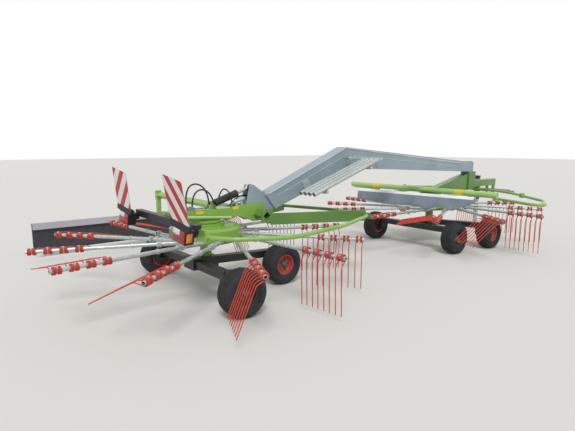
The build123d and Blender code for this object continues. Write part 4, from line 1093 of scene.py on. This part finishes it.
@dataclass
class Signals:
    """The two rear lamps and the striped boards that lean over them."""

    machine: Vector
    finishes: Finishes
    sides: Sequence[tuple[float, float]] = ((-0.665, 17.7), (0.692, 11.8))
    yaw_deg: float = 9.7
    roll_deg: float = 11.8
    lamp_x: float = -0.539
    lamp_z: float = 0.785
    board_foot: Point = (-0.100, 0, 0.125)
    glass_x: tuple[float, float] = (-0.101, -0.0945)
    glass_half: tuple[float, float] = (0.0865, 0.0565)
    glass_split: tuple[float, float] = (-0.012, 0.004)
    seam: float = 0.001
    reflector_y: tuple[float, float] = (0.0945, 0.0968)
    reflector_low: tuple[float, float] = (-0.084, -0.044)
    reflector_high: tuple[float, float] = (-0.022, 0.040)
    glass_round: float = 0.0016
    board_w: float = 0.282
    board_h: float = 0.423
    board_t: float = 0.003
    corner_r: float = 0.012
    stripe_slope: float = 0.64
    stripe_starts: tuple[float, float] = (0.293, 0.313)

    def lamp_place(self, side_y: float) -> Matrix:
        """The middle of a lamp's back, as it hangs.

        Args:
            side_y: The lamp's distance to the left of the machine's line.

        Returns:
            The lamp's frame.
        """
        spot = self.machine + Vector((self.lamp_x, side_y, self.lamp_z))
        yaw = Matrix.Rotation(math.radians(self.yaw_deg), 4, "Z")
        return Matrix.Translation(spot) @ yaw @ Matrix.Rotation(math.radians(self.roll_deg), 4, "X")

    def board_place(self, side_y: float, lean_deg: float) -> Matrix:
        """The foot of a board's striped face, its X pointing into the board.

        Args:
            side_y: The lamp's distance to the left of the machine's line.
            lean_deg: How far the board leans back.

        Returns:
            The board's frame.
        """
        lift = Matrix.Translation(self.board_foot)
        return self.lamp_place(side_y) @ lift @ Matrix.Rotation(math.radians(-lean_deg), 4, "Y")

    def stripes(self, place: Matrix, outward: float, start: float, label: str) -> bpy.types.Material:
        """The sheeting of one board, its stripes falling outwards.

        Args:
            place: The board's frame.
            outward: 1 for the left board, -1 for the right.
            start: Where a red band starts, from the inner lower corner.
            label: The board's side, for the material's name.

        Returns:
            The board's material.
        """
        out = place.to_3x3() @ Vector((0, outward, 0))
        up = place.to_3x3() @ Vector((0, 0, 1))
        across = out + up * self.stripe_slope
        corner = place @ Vector((0, -outward * self.board_w / 2, 0))
        return BoardFinish(
            f"striped reflective sheeting {label}",
            Colour.BOARD_WHITE,
            Colour.BOARD_RED,
            roughness=0.4,
            coat=0.1,
            dust=0.08,
            across=tuple(across),
            start=across.dot(corner) + start,
        ).build()

    def plate(self, shape: bmesh.types.BMesh, place: Matrix) -> None:
        """Add one board with rounded corners to a bmesh.

        Args:
            shape: The bmesh to add to.
            place: The board's frame.
        """
        outline = []
        half, height, size = self.board_w / 2, self.board_h, self.corner_r
        for corner_y, corner_z, first in (
            (half - size, size, -90), (half - size, height - size, 0),
            (-half + size, height - size, 90), (-half + size, size, 180),
        ):
            for step in range(5):
                angle = math.radians(first + 22.5 * step)
                outline.append((corner_y + size * math.cos(angle), corner_z + size * math.sin(angle)))
        rings = [
            [shape.verts.new(place @ Vector((depth, y, z))) for y, z in outline]
            for depth in (0.0, self.board_t)
        ]
        shape.faces.new(list(reversed(rings[0])))
        shape.faces.new(rings[1])
        count = len(outline)
        for index in range(count):
            after = (index + 1) % count
            shape.faces.new((rings[0][index], rings[0][after], rings[1][after], rings[1][index]))

    def boards(self) -> None:
        """Both striped boards as one piece, with two stripe materials and a plain back."""
        shape = bmesh.new()
        materials, fronts = [self.finishes.zinc], []
        for (side_y, lean), start, label in zip(self.sides, self.stripe_starts, ("right", "left")):
            place = self.board_place(side_y, lean)
            self.plate(shape, place)
            materials.append(self.stripes(place, math.copysign(1, side_y), start, label))
            fronts.append((place, -(place.to_3x3() @ Vector((1, 0, 0)))))
        made = from_bmesh("striped_boards", shape, 20.0)
        for face in made.data.polygons:
            for slot, (place, ahead) in enumerate(fronts, start=1):
                near = (place.inverted() @ face.center).length < 0.5
                if near and face.normal.dot(ahead) > 0.9:
                    face.material_index = slot
        dress(made, materials, "rear_frame", ["warning_boards"])

    def lenses(self) -> None:
        """Lamp glasses: a clear field over red ones, with an amber reflector on the outer side."""
        shape = bmesh.new()
        kinds: list[tuple[Matrix, Vector, Vector, int]] = []
        face_x, back_x = self.glass_x
        half_y, half_z = self.glass_half
        split_y, split_z = self.glass_split
        near, far = self.reflector_low, self.reflector_high
        for side_y, _ in self.sides:
            place = self.lamp_place(side_y)
            for low, high, kind in (
                ((split_y + self.seam, split_z + self.seam), (half_y, half_z), 1),
                ((-half_y, split_z + self.seam), (split_y - self.seam, half_z), 0),
                ((-half_y, -half_z), (half_y, split_z - self.seam), 0),
            ):
                kinds.append((place, Vector((face_x, *low)), Vector((back_x, *high)), kind))
            edge = sorted(math.copysign(1, side_y) * y for y in self.reflector_y)
            low, high = Vector((near[0], edge[0], near[1])), Vector((far[0], edge[1], far[1]))
            kinds.append((place, low, high, 2))
        for place, low, high, _ in kinds:
            brick(shape, low, high, place)
        bmesh.ops.bevel(
            shape,
            geom=list(shape.edges),
            offset=self.glass_round,
            segments=2,
            affect="EDGES",
            profile=0.5,
        )
        made = from_bmesh("lamp_glasses", shape, 50.0)
        for face in made.data.polygons:
            for place, low, high, kind in kinds:
                spot = place.inverted() @ face.center
                inside = all(low[i] - 1e-4 <= spot[i] <= high[i] + 1e-4 for i in range(3))
                if inside:
                    face.material_index = kind
        glasses = [self.finishes.lens_red, self.finishes.lens_clear, self.finishes.amber]
        dress(made, glasses, "rear_frame", ["lamp_lenses"])

    def build(self) -> None:
        """Build boards and lenses."""
        self.boards()
        self.lenses()


@dataclass
class Curtains:
    """The rear swath curtain on its bar, and the front one folded over its rail."""

    machine: Vector
    finishes: Finishes
    rear_x: tuple[float, float] = (-1.2, 1.3)
    rear_y: float = 2.7495
    rear_z: tuple[float, float] = (0.1, 0.5)
    held_depth: float = 0.09
    sway: float = 0.012
    fold_middle: Point = (3.480, -0.130, 0.838)
    fold_yaw_deg: float = 5.4
    fold_length: float = 1.95
    thick: float = 0.003
    rear_grid: tuple[int, int] = (20, 220)
    front_steps: int = 240
    hem_lines: tuple[int, int] = (19, 24)
    # How far the fold hangs below its even line, by share of its length from the right.
    drops: Sequence[tuple[float, float]] = (
        (-0.50, -0.105), (-0.43, -0.045), (-0.33, 0.030), (-0.24, -0.018), (-0.14, 0.044),
        (-0.03, 0.016), (0.10, 0.012), (0.26, 0.022), (0.38, 0.004), (0.50, -0.024),
    )

    def sheet_mesh(
        self, name: str, rows: Sequence[Sequence[Vector]], thick: float, banded: Callable[[int], int]
    ) -> bpy.types.Object:
        """A grid of points as cloth with a thickness.

        Args:
            name: The object's name.
            rows: The grid, row by row.
            thick: The cloth's thickness.
            banded: The material slot of each row of faces.

        Returns:
            The cloth.
        """
        across = len(rows[0])
        verts = [spot for row in rows for spot in row]
        faces, slots = [], []
        for line in range(len(rows) - 1):
            for step in range(across - 1):
                first = line * across + step
                faces.append((first, first + 1, first + across + 1, first + across))
                slots.append(banded(line))
        mesh = bpy.data.meshes.new(name + "_grid")
        mesh.from_pydata(verts, [], faces)
        mesh.polygons.foreach_set("material_index", slots)
        mesh.polygons.foreach_set("use_smooth", [True] * len(faces))
        source = bpy.data.objects.new(name + "_grid", mesh)
        bpy.context.scene.collection.objects.link(source)
        wall = source.modifiers.new("wall", "SOLIDIFY")
        wall.thickness = thick
        wall.offset = 0.0
        wall.use_even_offset = False
        return to_mesh(name, source)

    def rear(self) -> None:
        """The black sheet that hangs from its bar, still at the bar and waving below it."""
        rows = []
        low, high = self.rear_z
        lines, steps = self.rear_grid
        for line in range(lines + 1):
            height = high + (low - high) * line / lines
            free = max(0.0, (high - self.held_depth - height) / (high - self.held_depth - low))
            row = []
            for step in range(steps + 1):
                x = self.rear_x[0] + (self.rear_x[1] - self.rear_x[0]) * step / steps
                wave = math.sin(7.1 * x + 0.6) * 0.6 + math.sin(13.7 * x + 2.0 + 1.5 * free) * 0.4
                crease = noise.noise(Vector((x * 9.0, height * 3.0, 0.4))) * 0.5
                y = self.rear_y + free**1.4 * self.sway * (wave + crease)
                row.append(self.machine + Vector((x, y, height - self.thick * free * (wave + 1))))
            rows.append(row)
        cloth = self.sheet_mesh("rear_swath_cloth", rows, self.thick, lambda line: int(line == lines - 1))
        looks = [self.finishes.rubber, self.finishes.rubber_hem]
        dress(cloth, looks, "curtain_slide", ["rear_curtain"])

    def drop(self, share: float) -> float:
        """How far the lower fold hangs below its even line.

        Args:
            share: Place along the fold, from -0.5 at the right to 0.5 at the left.

        Returns:
            The extra drop, in metres.
        """
        for (x0, d0), (x1, d1) in zip(self.drops, self.drops[1:]):
            if share <= x1:
                part = max(0.0, share - x0) / (x1 - x0)
                return d0 + (d1 - d0) * (3 - 2 * part) * part**2
        return self.drops[-1][1]

    def front(self) -> None:
        """The folded cloth: doubled, laid over the rail and hanging behind it."""
        place = Matrix.Translation(self.machine + Vector(self.fold_middle)) @ Matrix.Rotation(
            math.radians(self.fold_yaw_deg), 4, "Z"
        )
        # The doubled sheet's section: across the rail, up, and how loose it is there.
        section = [
            (0.013, -0.022, 0.0), (0.0195, -0.004, 0.0), (0.015, 0.012, 0.0), (0.004, 0.0190, 0.0),
            (-0.010, 0.0200, 0.0), (-0.025, 0.0195, 0.0), (-0.036, 0.0150, 0.0),
            (-0.042, 0.004, 0.05), (-0.0430, -0.018, 0.2), (-0.0420, -0.045, 0.4),
            (-0.0400, -0.078, 0.6), (-0.0375, -0.112, 0.8), (-0.0365, -0.142, 0.95),
            (-0.0395, -0.1530, 1.0), (-0.0435, -0.143, 0.95), (-0.0460, -0.112, 0.8),
            (-0.0485, -0.078, 0.6), (-0.0505, -0.045, 0.4), (-0.0515, -0.020, 0.15),
            (-0.0510, -0.006, 0.0), (-0.0470, 0.0150, 0.0), (-0.034, 0.0250, 0.0),
            (-0.012, 0.0268, 0.0), (0.006, 0.0262, 0.0), (0.0200, 0.0190, 0.0),
            (0.0262, 0.002, 0.0), (0.0262, -0.020, 0.0),
        ]
        steps = self.front_steps
        rows = []
        for across, up, loose in section:
            row = []
            for step in range(steps + 1):
                share = step / steps - 0.5
                along = self.fold_length * share * (1 + 0.02 * loose)
                # Soft folds lean from the rail down to the fold, the same on both layers.
                lean = along * 7.0 + up * 9.0
                push = 0.016 * loose * noise.noise(Vector((lean, up * 3.0, 0.6)))
                crease = 0.004 * loose * noise.noise(Vector((along * 26.0, up * 12.0, 2.0)))
                row.append(place @ Vector((across + push + crease, along, up - loose * self.drop(share))))
            rows.append(row)
        first, last = self.hem_lines
        cloth = self.sheet_mesh(
            "front_swath_cloth", rows, self.thick, lambda line: int(first <= line <= last)
        )
        looks = [self.finishes.canvas, self.finishes.canvas_edge]
        dress(cloth, looks, "front_frame", ["front_curtain"])

    def build(self) -> None:
        """Build both curtains."""
        self.rear()
        self.front()


@dataclass
class Trim:
    """Small parts on the frames: hoses, bolts, painted highlight lines on the boom, rods, valve block and
    blank films.
    """

    machine: Vector
    finishes: Finishes
    boom_half: float = 0.085
    hose_r: float = 0.0085
    feed_r: float = 0.0075
    hose_end: tuple[float, float, float] = (-0.004, 0.016, 0.040)
    bell_bolts: int = 12
    bell_bolt_r: float = 0.232
    bell_top: float = 0.7245
    notches: int = 9
    rod_r: float = 0.017
    cross_tube_r: float = 0.0452
    film_width: float = 0.140
    film_t: float = 0.0004

    def at(self, x: float, y: float, z: float) -> Vector:
        """A place given in millimetres from the ground under the rear rotor's axis."""
        return self.machine + Vector((x, y, z)) / 1000

    def lie(self, start: Vector, end: Vector, axis: str) -> tuple[Matrix, float]:
        """A frame that stands at one place and has an axis pointing to another.

        Args:
            start: Where the frame stands.
            end: Where its axis points.
            axis: The axis, "X" or "Y".

        Returns:
            The frame, and how far the two places are apart.
        """
        way = (end - start).normalized()
        turn = way.to_track_quat(axis, "Z").to_matrix().to_4x4()
        return Matrix.Translation(start) @ turn, (end - start).length

    def hose(self, name: str, route: Sequence[Point], radius: float) -> bpy.types.Object:
        """A hydraulic hose that is fixed at both ends, with a steel fitting at each.

        Args:
            name: The piece's name.
            route: Control points, in millimetres from the machine's own point.
            radius: The hose's radius, in metres.

        Returns:
            The hose with its fittings.
        """
        spots = [self.at(*point) for point in route]
        data = bpy.data.curves.new(name, "CURVE")
        data.dimensions = "3D"
        data.bevel_depth = radius
        data.bevel_resolution = 3
        data.use_fill_caps = True
        data.resolution_u = 10
        spline = data.splines.new("NURBS")
        spline.points.add(len(spots) - 1)
        for index, spot in enumerate(spots):
            spline.points[index].co = (*spot, 1.0)
        spline.order_u = 4
        spline.use_endpoint_u = True
        line = bpy.data.objects.new(name + "_line", data)
        bpy.context.scene.collection.objects.link(line)
        made = to_mesh(name, line)
        made.data.materials.clear()
        shape = bmesh.new()
        shape.from_mesh(made.data)
        count = len(shape.faces)
        sunk, nut, sleeve = self.hose_end
        for first, second in ((spots[0], spots[1]), (spots[-1], spots[-2])):
            way = (second - first).normalized()
            rod(shape, first + way * sunk, first + way * nut, radius * 1.5, 6, 0.001)
            rod(shape, first + way * nut, first + way * sleeve, radius * 1.22, 16, 0.001)
        for index, face in enumerate(shape.faces):
            face.smooth = True
            face.material_index = 0 if index < count else 1
        for edge in shape.edges:
            if len(edge.link_faces) == 2 and edge.calc_face_angle(0.0) > 0.7:
                edge.smooth = False
        shape.to_mesh(made.data)
        shape.free()
        return made

    def hoses(self) -> None:
        """Three loops over the rear carrier, and one across the tilt hinge."""
        both = [self.finishes.hose, self.finishes.steel]
        left = [
            (-205, 28, 893), (-210, 28, 1010), (-190, 24, 1160), (-60, 12, 1175),
            (20, -6, 1100), (44, -12, 990), (50, -12, 900),
        ]
        right = [
            (-165, -38, 893), (-175, -40, 1000), (-130, -52, 1120), (0, -64, 1110),
            (60, -70, 1020), (90, -66, 900),
        ]
        feed = [
            (170, -14, 1020), (165, -60, 1075), (185, -78, 1120), (260, -80, 1075),
            (300, -72, 990), (300, -60, 900),
        ]
        hinge = [
            (330, 52, 890), (395, 50, 960), (470, 34, 1010), (560, 22, 1000),
            (650, 18, 985), (740, 20, 1000), (800, 24, 1030),
        ]
        for name, route, radius in (
            ("carrier_hose_left", left, self.hose_r),
            ("carrier_hose_right", right, self.hose_r),
            ("barrel_feed_hose", feed, self.feed_r),
        ):
            dress(self.hose(name, route, radius), both, "rear_frame")
        crossing = self.hose("hinge_hose", hinge, self.hose_r)
        for material in both:
            crossing.data.materials.append(material)
        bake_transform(crossing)

    def boom_highlight_lines(self) -> None:
        """Painted highlights: light grey rods along the boom's top edges and fold line, on both sides."""
        shape = bmesh.new()
        # Each line as (x, z), its radius, and how far it hangs under its line.
        top_line = [(790, 1020), (2060, 1547), (4880, 1284)]
        fold_line = [(920, 985), (2085, 1450), (4800, 1222)]
        for side in (-1, 1):
            y = side * (self.boom_half * 1000 + 0.5)
            for line, size, under in ((top_line, 0.009, 0.009), (fold_line, 0.004, 0.0)):
                drop = Vector((0, 0, -under))
                for (x0, z0), (x1, z1) in zip(line, line[1:]):
                    start, end = self.at(x0, y, z0), self.at(x1, y, z1)
                    rod(shape, start + drop, end + drop, size, 8, 0.001)
        # The rods are a painted highlight, not real bars.
        edges = from_bmesh("boom_edge_bars", shape, 30.0)
        dress(edges, [self.finishes.boom_painted_highlight], "boom")

    def notched_bar(self) -> None:
        """The rack's notched bar along the boom's right side, on two short arms."""
        bar = bmesh.new()
        place, length = self.lie(self.at(2010, -178, 1424), self.at(2700, -178, 1392), "X")
        brick(bar, Vector((0, -0.004, -0.018)), Vector((length, 0.004, 0.004)), place)
        for count in range(self.notches):
            x = 0.02 + count * (length - 0.06) / (self.notches - 1)
            brick(bar, Vector((x, -0.004, 0.0035)), Vector((x + 0.026, 0.004, 0.016)), place)
        for share in (0.08, 0.88):
            x = share * length
            brick(bar, Vector((x, 0.0035, -0.016)), Vector((x + 0.04, 0.094, -0.010)), place)
        dress(from_bmesh("rack_notched_bar", bar, 30.0), [self.finishes.zinc], "boom")

    def bolts(self) -> None:
        """Hexagon bolts with washers, in a ring on each bell and in rows on the rear carrier."""
        unit = bmesh.new()
        rod(unit, Vector((0, 0, -0.002)), Vector((0, 0, 0.0025)), 0.0125, 16, 0.0006)
        rod(unit, Vector((0, 0, 0.002)), Vector((0, 0, 0.0095)), 0.0085, 6, 0.001)
        bolt = from_bmesh("bolt", unit)
        for end in ("rear", "front"):
            low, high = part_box(f"{end}_bell")
            centre = (low + high) / 2
            spots = []
            for number in range(self.bell_bolts):
                angle = 2 * math.pi * number / self.bell_bolts + 0.13
                x = centre.x + self.bell_bolt_r * math.cos(angle)
                y = centre.y + self.bell_bolt_r * math.sin(angle)
                spots.append(((x, y, self.bell_top), (0.0, 0.0, angle)))
            made = scatter(f"{end}_bell_bolts", bolt, spots, self.finishes.zinc)
            dress(made, [self.finishes.zinc], f"{end}_rotor")
        rows = ((-390, 60), (-300, 60), (0, 62), (-95, 62))
        rear = [(x, side * y, 895.0) for x, y in rows for side in (-1, 1)]
        spots = [(tuple(self.at(*spot)), (0.0, 0.0, 0.3)) for spot in rear]
        made = scatter("carrier_bolts", bolt, spots, self.finishes.zinc)
        dress(made, [self.finishes.zinc], "rear_frame")
        bpy.data.objects.remove(bolt)

    def side_rod(self) -> None:
        """The round-ended rod along the rear carrier's right side, on two short brackets."""
        shape = bmesh.new()
        start, end = self.at(-330, -118, 846), self.at(262, -118, 792)
        place, length = self.lie(start, end, "Y")
        rounding = [
            (self.rod_r * (1 - math.cos(angle)), self.rod_r * math.sin(angle))
            for angle in (0.3, 0.7, 1.1, math.pi / 2)
        ]
        far_end = [(length - across, radius) for across, radius in reversed(rounding)]
        lathe(shape, [(0.0, 0.001), *rounding, *far_end, (length, 0.001)], 20, place)
        for share in (0.12, 0.86):
            spot = start.lerp(end, share)
            brick(shape, spot + Vector((-0.02, 0.012, -0.006)), spot + Vector((0.02, 0.034, 0.006)))
        # The rod gets the frame green lightened as painted highlight.
        dress(from_bmesh("carrier_side_rod", shape), [self.finishes.green_painted_highlight], "rear_frame")

    def pressure_store(self) -> None:
        """The silver pressure store beside the lifting cylinder, on two saddles."""
        shape = bmesh.new()
        start, end = self.at(318, -64, 950), self.at(462, -64, 986)
        place, length = self.lie(start, end, "Y")
        # Domed ends as (across, radius), the far one with its filling valve.
        profile = [
            (0.0, 0.001), (0.002, 0.012), (0.008, 0.019), (0.016, 0.022),
            (length - 0.016, 0.022), (length - 0.008, 0.019), (length - 0.004, 0.010),
            (length + 0.010, 0.009), (length + 0.010, 0.001),
        ]
        lathe(shape, profile, 28, place)
        for share in (0.25, 0.72):
            spot = start.lerp(end, share)
            low = Vector((spot.x - 0.009, spot.y - 0.016, self.at(0, 0, 912).z))
            brick(shape, low, Vector((spot.x + 0.009, spot.y - 0.002, spot.z - 0.012)))
        dress(from_bmesh("pressure_store", shape), [self.finishes.zinc], "rear_frame")

    def valve_block(self) -> None:
        """The valve block on the rear carrier: ports for the hoses, and two short hard pipes."""
        shape = bmesh.new()
        brick(shape, self.at(-234, -56, 891), self.at(-138, 48, 924))
        bmesh.ops.bevel(shape, geom=list(shape.edges), offset=0.0025, segments=2, affect="EDGES")
        for x, y, height in ((-205, 28, 940), (-166, -38, 940), (-214, -28, 934), (-160, 18, 932)):
            rod(shape, self.at(x, y, 922), self.at(x, y, height), 0.0125, 6, 0.001)
        # Each pipe with its nut at the block and its fitting at the far end.
        for y in (-16, 10):
            rod(shape, self.at(-140, y, 907), self.at(22, y, 907), 0.005, 12)
            rod(shape, self.at(-140, y, 907), self.at(-124, y, 907), 0.0095, 6, 0.001)
            rod(shape, self.at(22, y, 891), self.at(22, y, 914), 0.0105, 6, 0.001)
        dress(from_bmesh("carrier_valve_block", shape), [self.finishes.steel], "rear_frame")

    def films(self) -> None:
        """Blank yellow films where the machine carries its notices."""
        shape = bmesh.new()
        for low, high in (
            ((-150, -86.6, 858), (-60, -86.0, 886)),
            ((300, -86.6, 872), (372, -86.0, 902)),
        ):
            brick(shape, self.at(*low), self.at(*high))
        dress(from_bmesh("carrier_films", shape), [self.finishes.sticker], "rear_frame")
        band = bmesh.new()
        inner, outer = self.cross_tube_r - 0.001, self.cross_tube_r + self.film_t
        wide = self.film_width
        profile = [(0.0, inner), (0.0, outer), (wide, outer), (wide, inner)]
        for y in (985.0, -640.0):
            lathe(band, profile, 32, Matrix.Translation(self.at(4080, y, 860)))
        dress(from_bmesh("cross_tube_films", band), [self.finishes.sticker], "front_frame")

    def build(self) -> None:
        """Build all the small parts."""
        self.hoses()
        self.boom_highlight_lines()
        self.notched_bar()
        self.bolts()
        self.side_rod()
        self.pressure_store()
        self.valve_block()
        self.films()


@dataclass
class Studio:
    """Pale floor, soft light and the photograph's camera."""

    machine: Vector
    picture_width: float = 575.0
    focal_px: float = 455.0
    eye: Point = (-2.35, -4.31, 1.55)
    heading: Point = (0.629, 0.777, 0.0)
    pitch_deg: float = 8.56
    roll_deg: float = 0.0
    floor_size: float = 60.0
    sun_energy: float = 1.7
    sun_spread_deg: float = 18.0
    sun_turn_deg: Point = (38.0, -14.0, -20.0)
    sky_strength: float = 0.62

    def build(self) -> None:
        """Build the camera, the lights, the world and the floor."""
        self.camera()
        self.lights()
        self.floor()

    def camera(self) -> None:
        """Place the camera by its eye point, heading, pitch and focal length."""
        data = bpy.data.cameras.new("camera")
        data.sensor_width = 36.0
        data.lens = self.focal_px / self.picture_width * data.sensor_width
        data.clip_end = 200.0
        camera = bpy.data.objects.new("camera", data)
        bpy.context.scene.collection.objects.link(camera)
        bearing = math.atan2(self.heading[1], self.heading[0])
        level = Euler((math.radians(90 - self.pitch_deg), 0, bearing - math.pi / 2), "XYZ").to_matrix()
        roll = Matrix.Rotation(math.radians(self.roll_deg), 3, "Z")
        camera.matrix_world = Matrix.Translation(self.machine + Vector(self.eye)) @ (level @ roll).to_4x4()
        bpy.context.scene.camera = camera

    def lights(self) -> None:
        """A soft sun and an even world, which together leave colours as written."""
        scene = bpy.context.scene
        scene.view_settings.view_transform = "Standard"
        sun = bpy.data.lights.new("soft sun", "SUN")
        sun.energy = self.sun_energy
        sun.angle = math.radians(self.sun_spread_deg)
        lamp = bpy.data.objects.new("soft sun", sun)
        lamp.rotation_euler = Euler([math.radians(turn) for turn in self.sun_turn_deg])
        scene.collection.objects.link(lamp)
        world = bpy.data.worlds.new("studio")
        world.use_nodes = True
        scene.world = world
        tree = world.node_tree
        back = tree.nodes["Background"]
        path = add_node(tree, "ShaderNodeLightPath")
        seen = maths(tree, "MAXIMUM", path.outputs["Is Camera Ray"], path.outputs["Is Glossy Ray"])
        through = maths(tree, "MAXIMUM", seen, path.outputs["Is Transmission Ray"])
        strength = ramp(tree, through, (0.0, 1.0), (self.sky_strength, 1.0))
        tree.links.new(strength, back.inputs["Strength"])
        back.inputs["Color"].default_value = (1.0, 1.0, 1.0, 1.0)

    def floor(self) -> None:
        """A wide pale floor that the machine stands on."""
        shape = bmesh.new()
        bmesh.ops.create_grid(shape, x_segments=1, y_segments=1, size=self.floor_size)
        mesh = bpy.data.meshes.new("floor")
        shape.to_mesh(mesh)
        shape.free()
        floor = bpy.data.objects.new("floor", mesh)
        floor.location = (0, 0, -0.001)
        bpy.context.scene.collection.objects.link(floor)
        material = bpy.data.materials.new("pale studio floor")
        material.use_nodes = True
        shader = material.node_tree.nodes["Principled BSDF"]
        shader.inputs["Base Color"].default_value = linear(Colour.FLOOR)
        shader.inputs["Roughness"].default_value = 0.9
        mesh.materials.append(material)


@dataclass
class Frames:
    """The rigid CAD pieces, which keep their shape and get real finishes."""

    nodes: dict[str, bpy.types.Object]
    machine: Vector
    finishes: Finishes
    lug_start: float = -0.715

    def build(self) -> None:
        """Assign each kept node its material, by name."""
        choose = {
            "boom": "boom",
            "shaft_guard": "black",
            "rack_rests": "zinc",
            "rack_tubes": "zinc",
            "lift_barrel": "black",
            "lift_rod": "chrome",
            "link_shaft": "steel",
            "input_shaft": "steel",
            "jack_sleeve": "chassis",
            "jack_leg": "zinc",
            "lamps": "black",
            "lamp_lenses": "lens_red",
            "board_stays": "black",
            "light_bar": "chassis",
            "curtain_bar": "strip",
            "rear_curtain": "rubber",
            "front_curtain": "canvas",
            "curtain_rail": "zinc",
            "front_chassis": "chassis",
            "rear_chassis": "chassis",
            "rear_knuckle_right": "chassis",
            "rear_knuckle_left": "chassis",
            # Guard frame, front carrier and headstock get the frame green darkened as painted shade.
            "guard_frame": "green_painted_shade",
            "front_carrier": "green_painted_shade",
            "headstock": "green_painted_shade",
            # The cross tube gets the frame green lightened as painted highlight.
            "cross_tube": "green_painted_highlight",
        }
        for name, node in self.nodes.items():
            material = getattr(self.finishes, choose.get(name, "green"))
            node.data.materials.clear()
            node.data.materials.append(material)
            if name == "light_bar":
                node.data.materials.append(self.finishes.green)
                for face in node.data.polygons:
                    if face.center.y < self.machine.y + self.lug_start:
                        face.material_index = 1


def main() -> None:
    """Load the frame, build every class in order, and note the sizes."""
    logging.basicConfig(level=logging.INFO, format="%(name)s: %(message)s")
    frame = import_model()
    low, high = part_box("rear_bell")
    machine = Vector(((low.x + high.x) / 2, (low.y + high.y) / 2, 0.0))
    finishes = Finishes()
    Frames(frame["nodes"], machine, finishes).build()
    for name, first_bearing, twists in ROTORS:
        Rotor(name, first_bearing, twists, finishes).build()
    Signals(machine, finishes).build()
    Curtains(machine, finishes).build()
    Trim(machine, finishes).build()
    for name, outward, painted_shade_outside in WHEELS:
        Wheel(name, finishes, outward, painted_shade_outside=painted_shade_outside).build()
    Studio(machine).build()


if __name__ == "__main__":
    main()
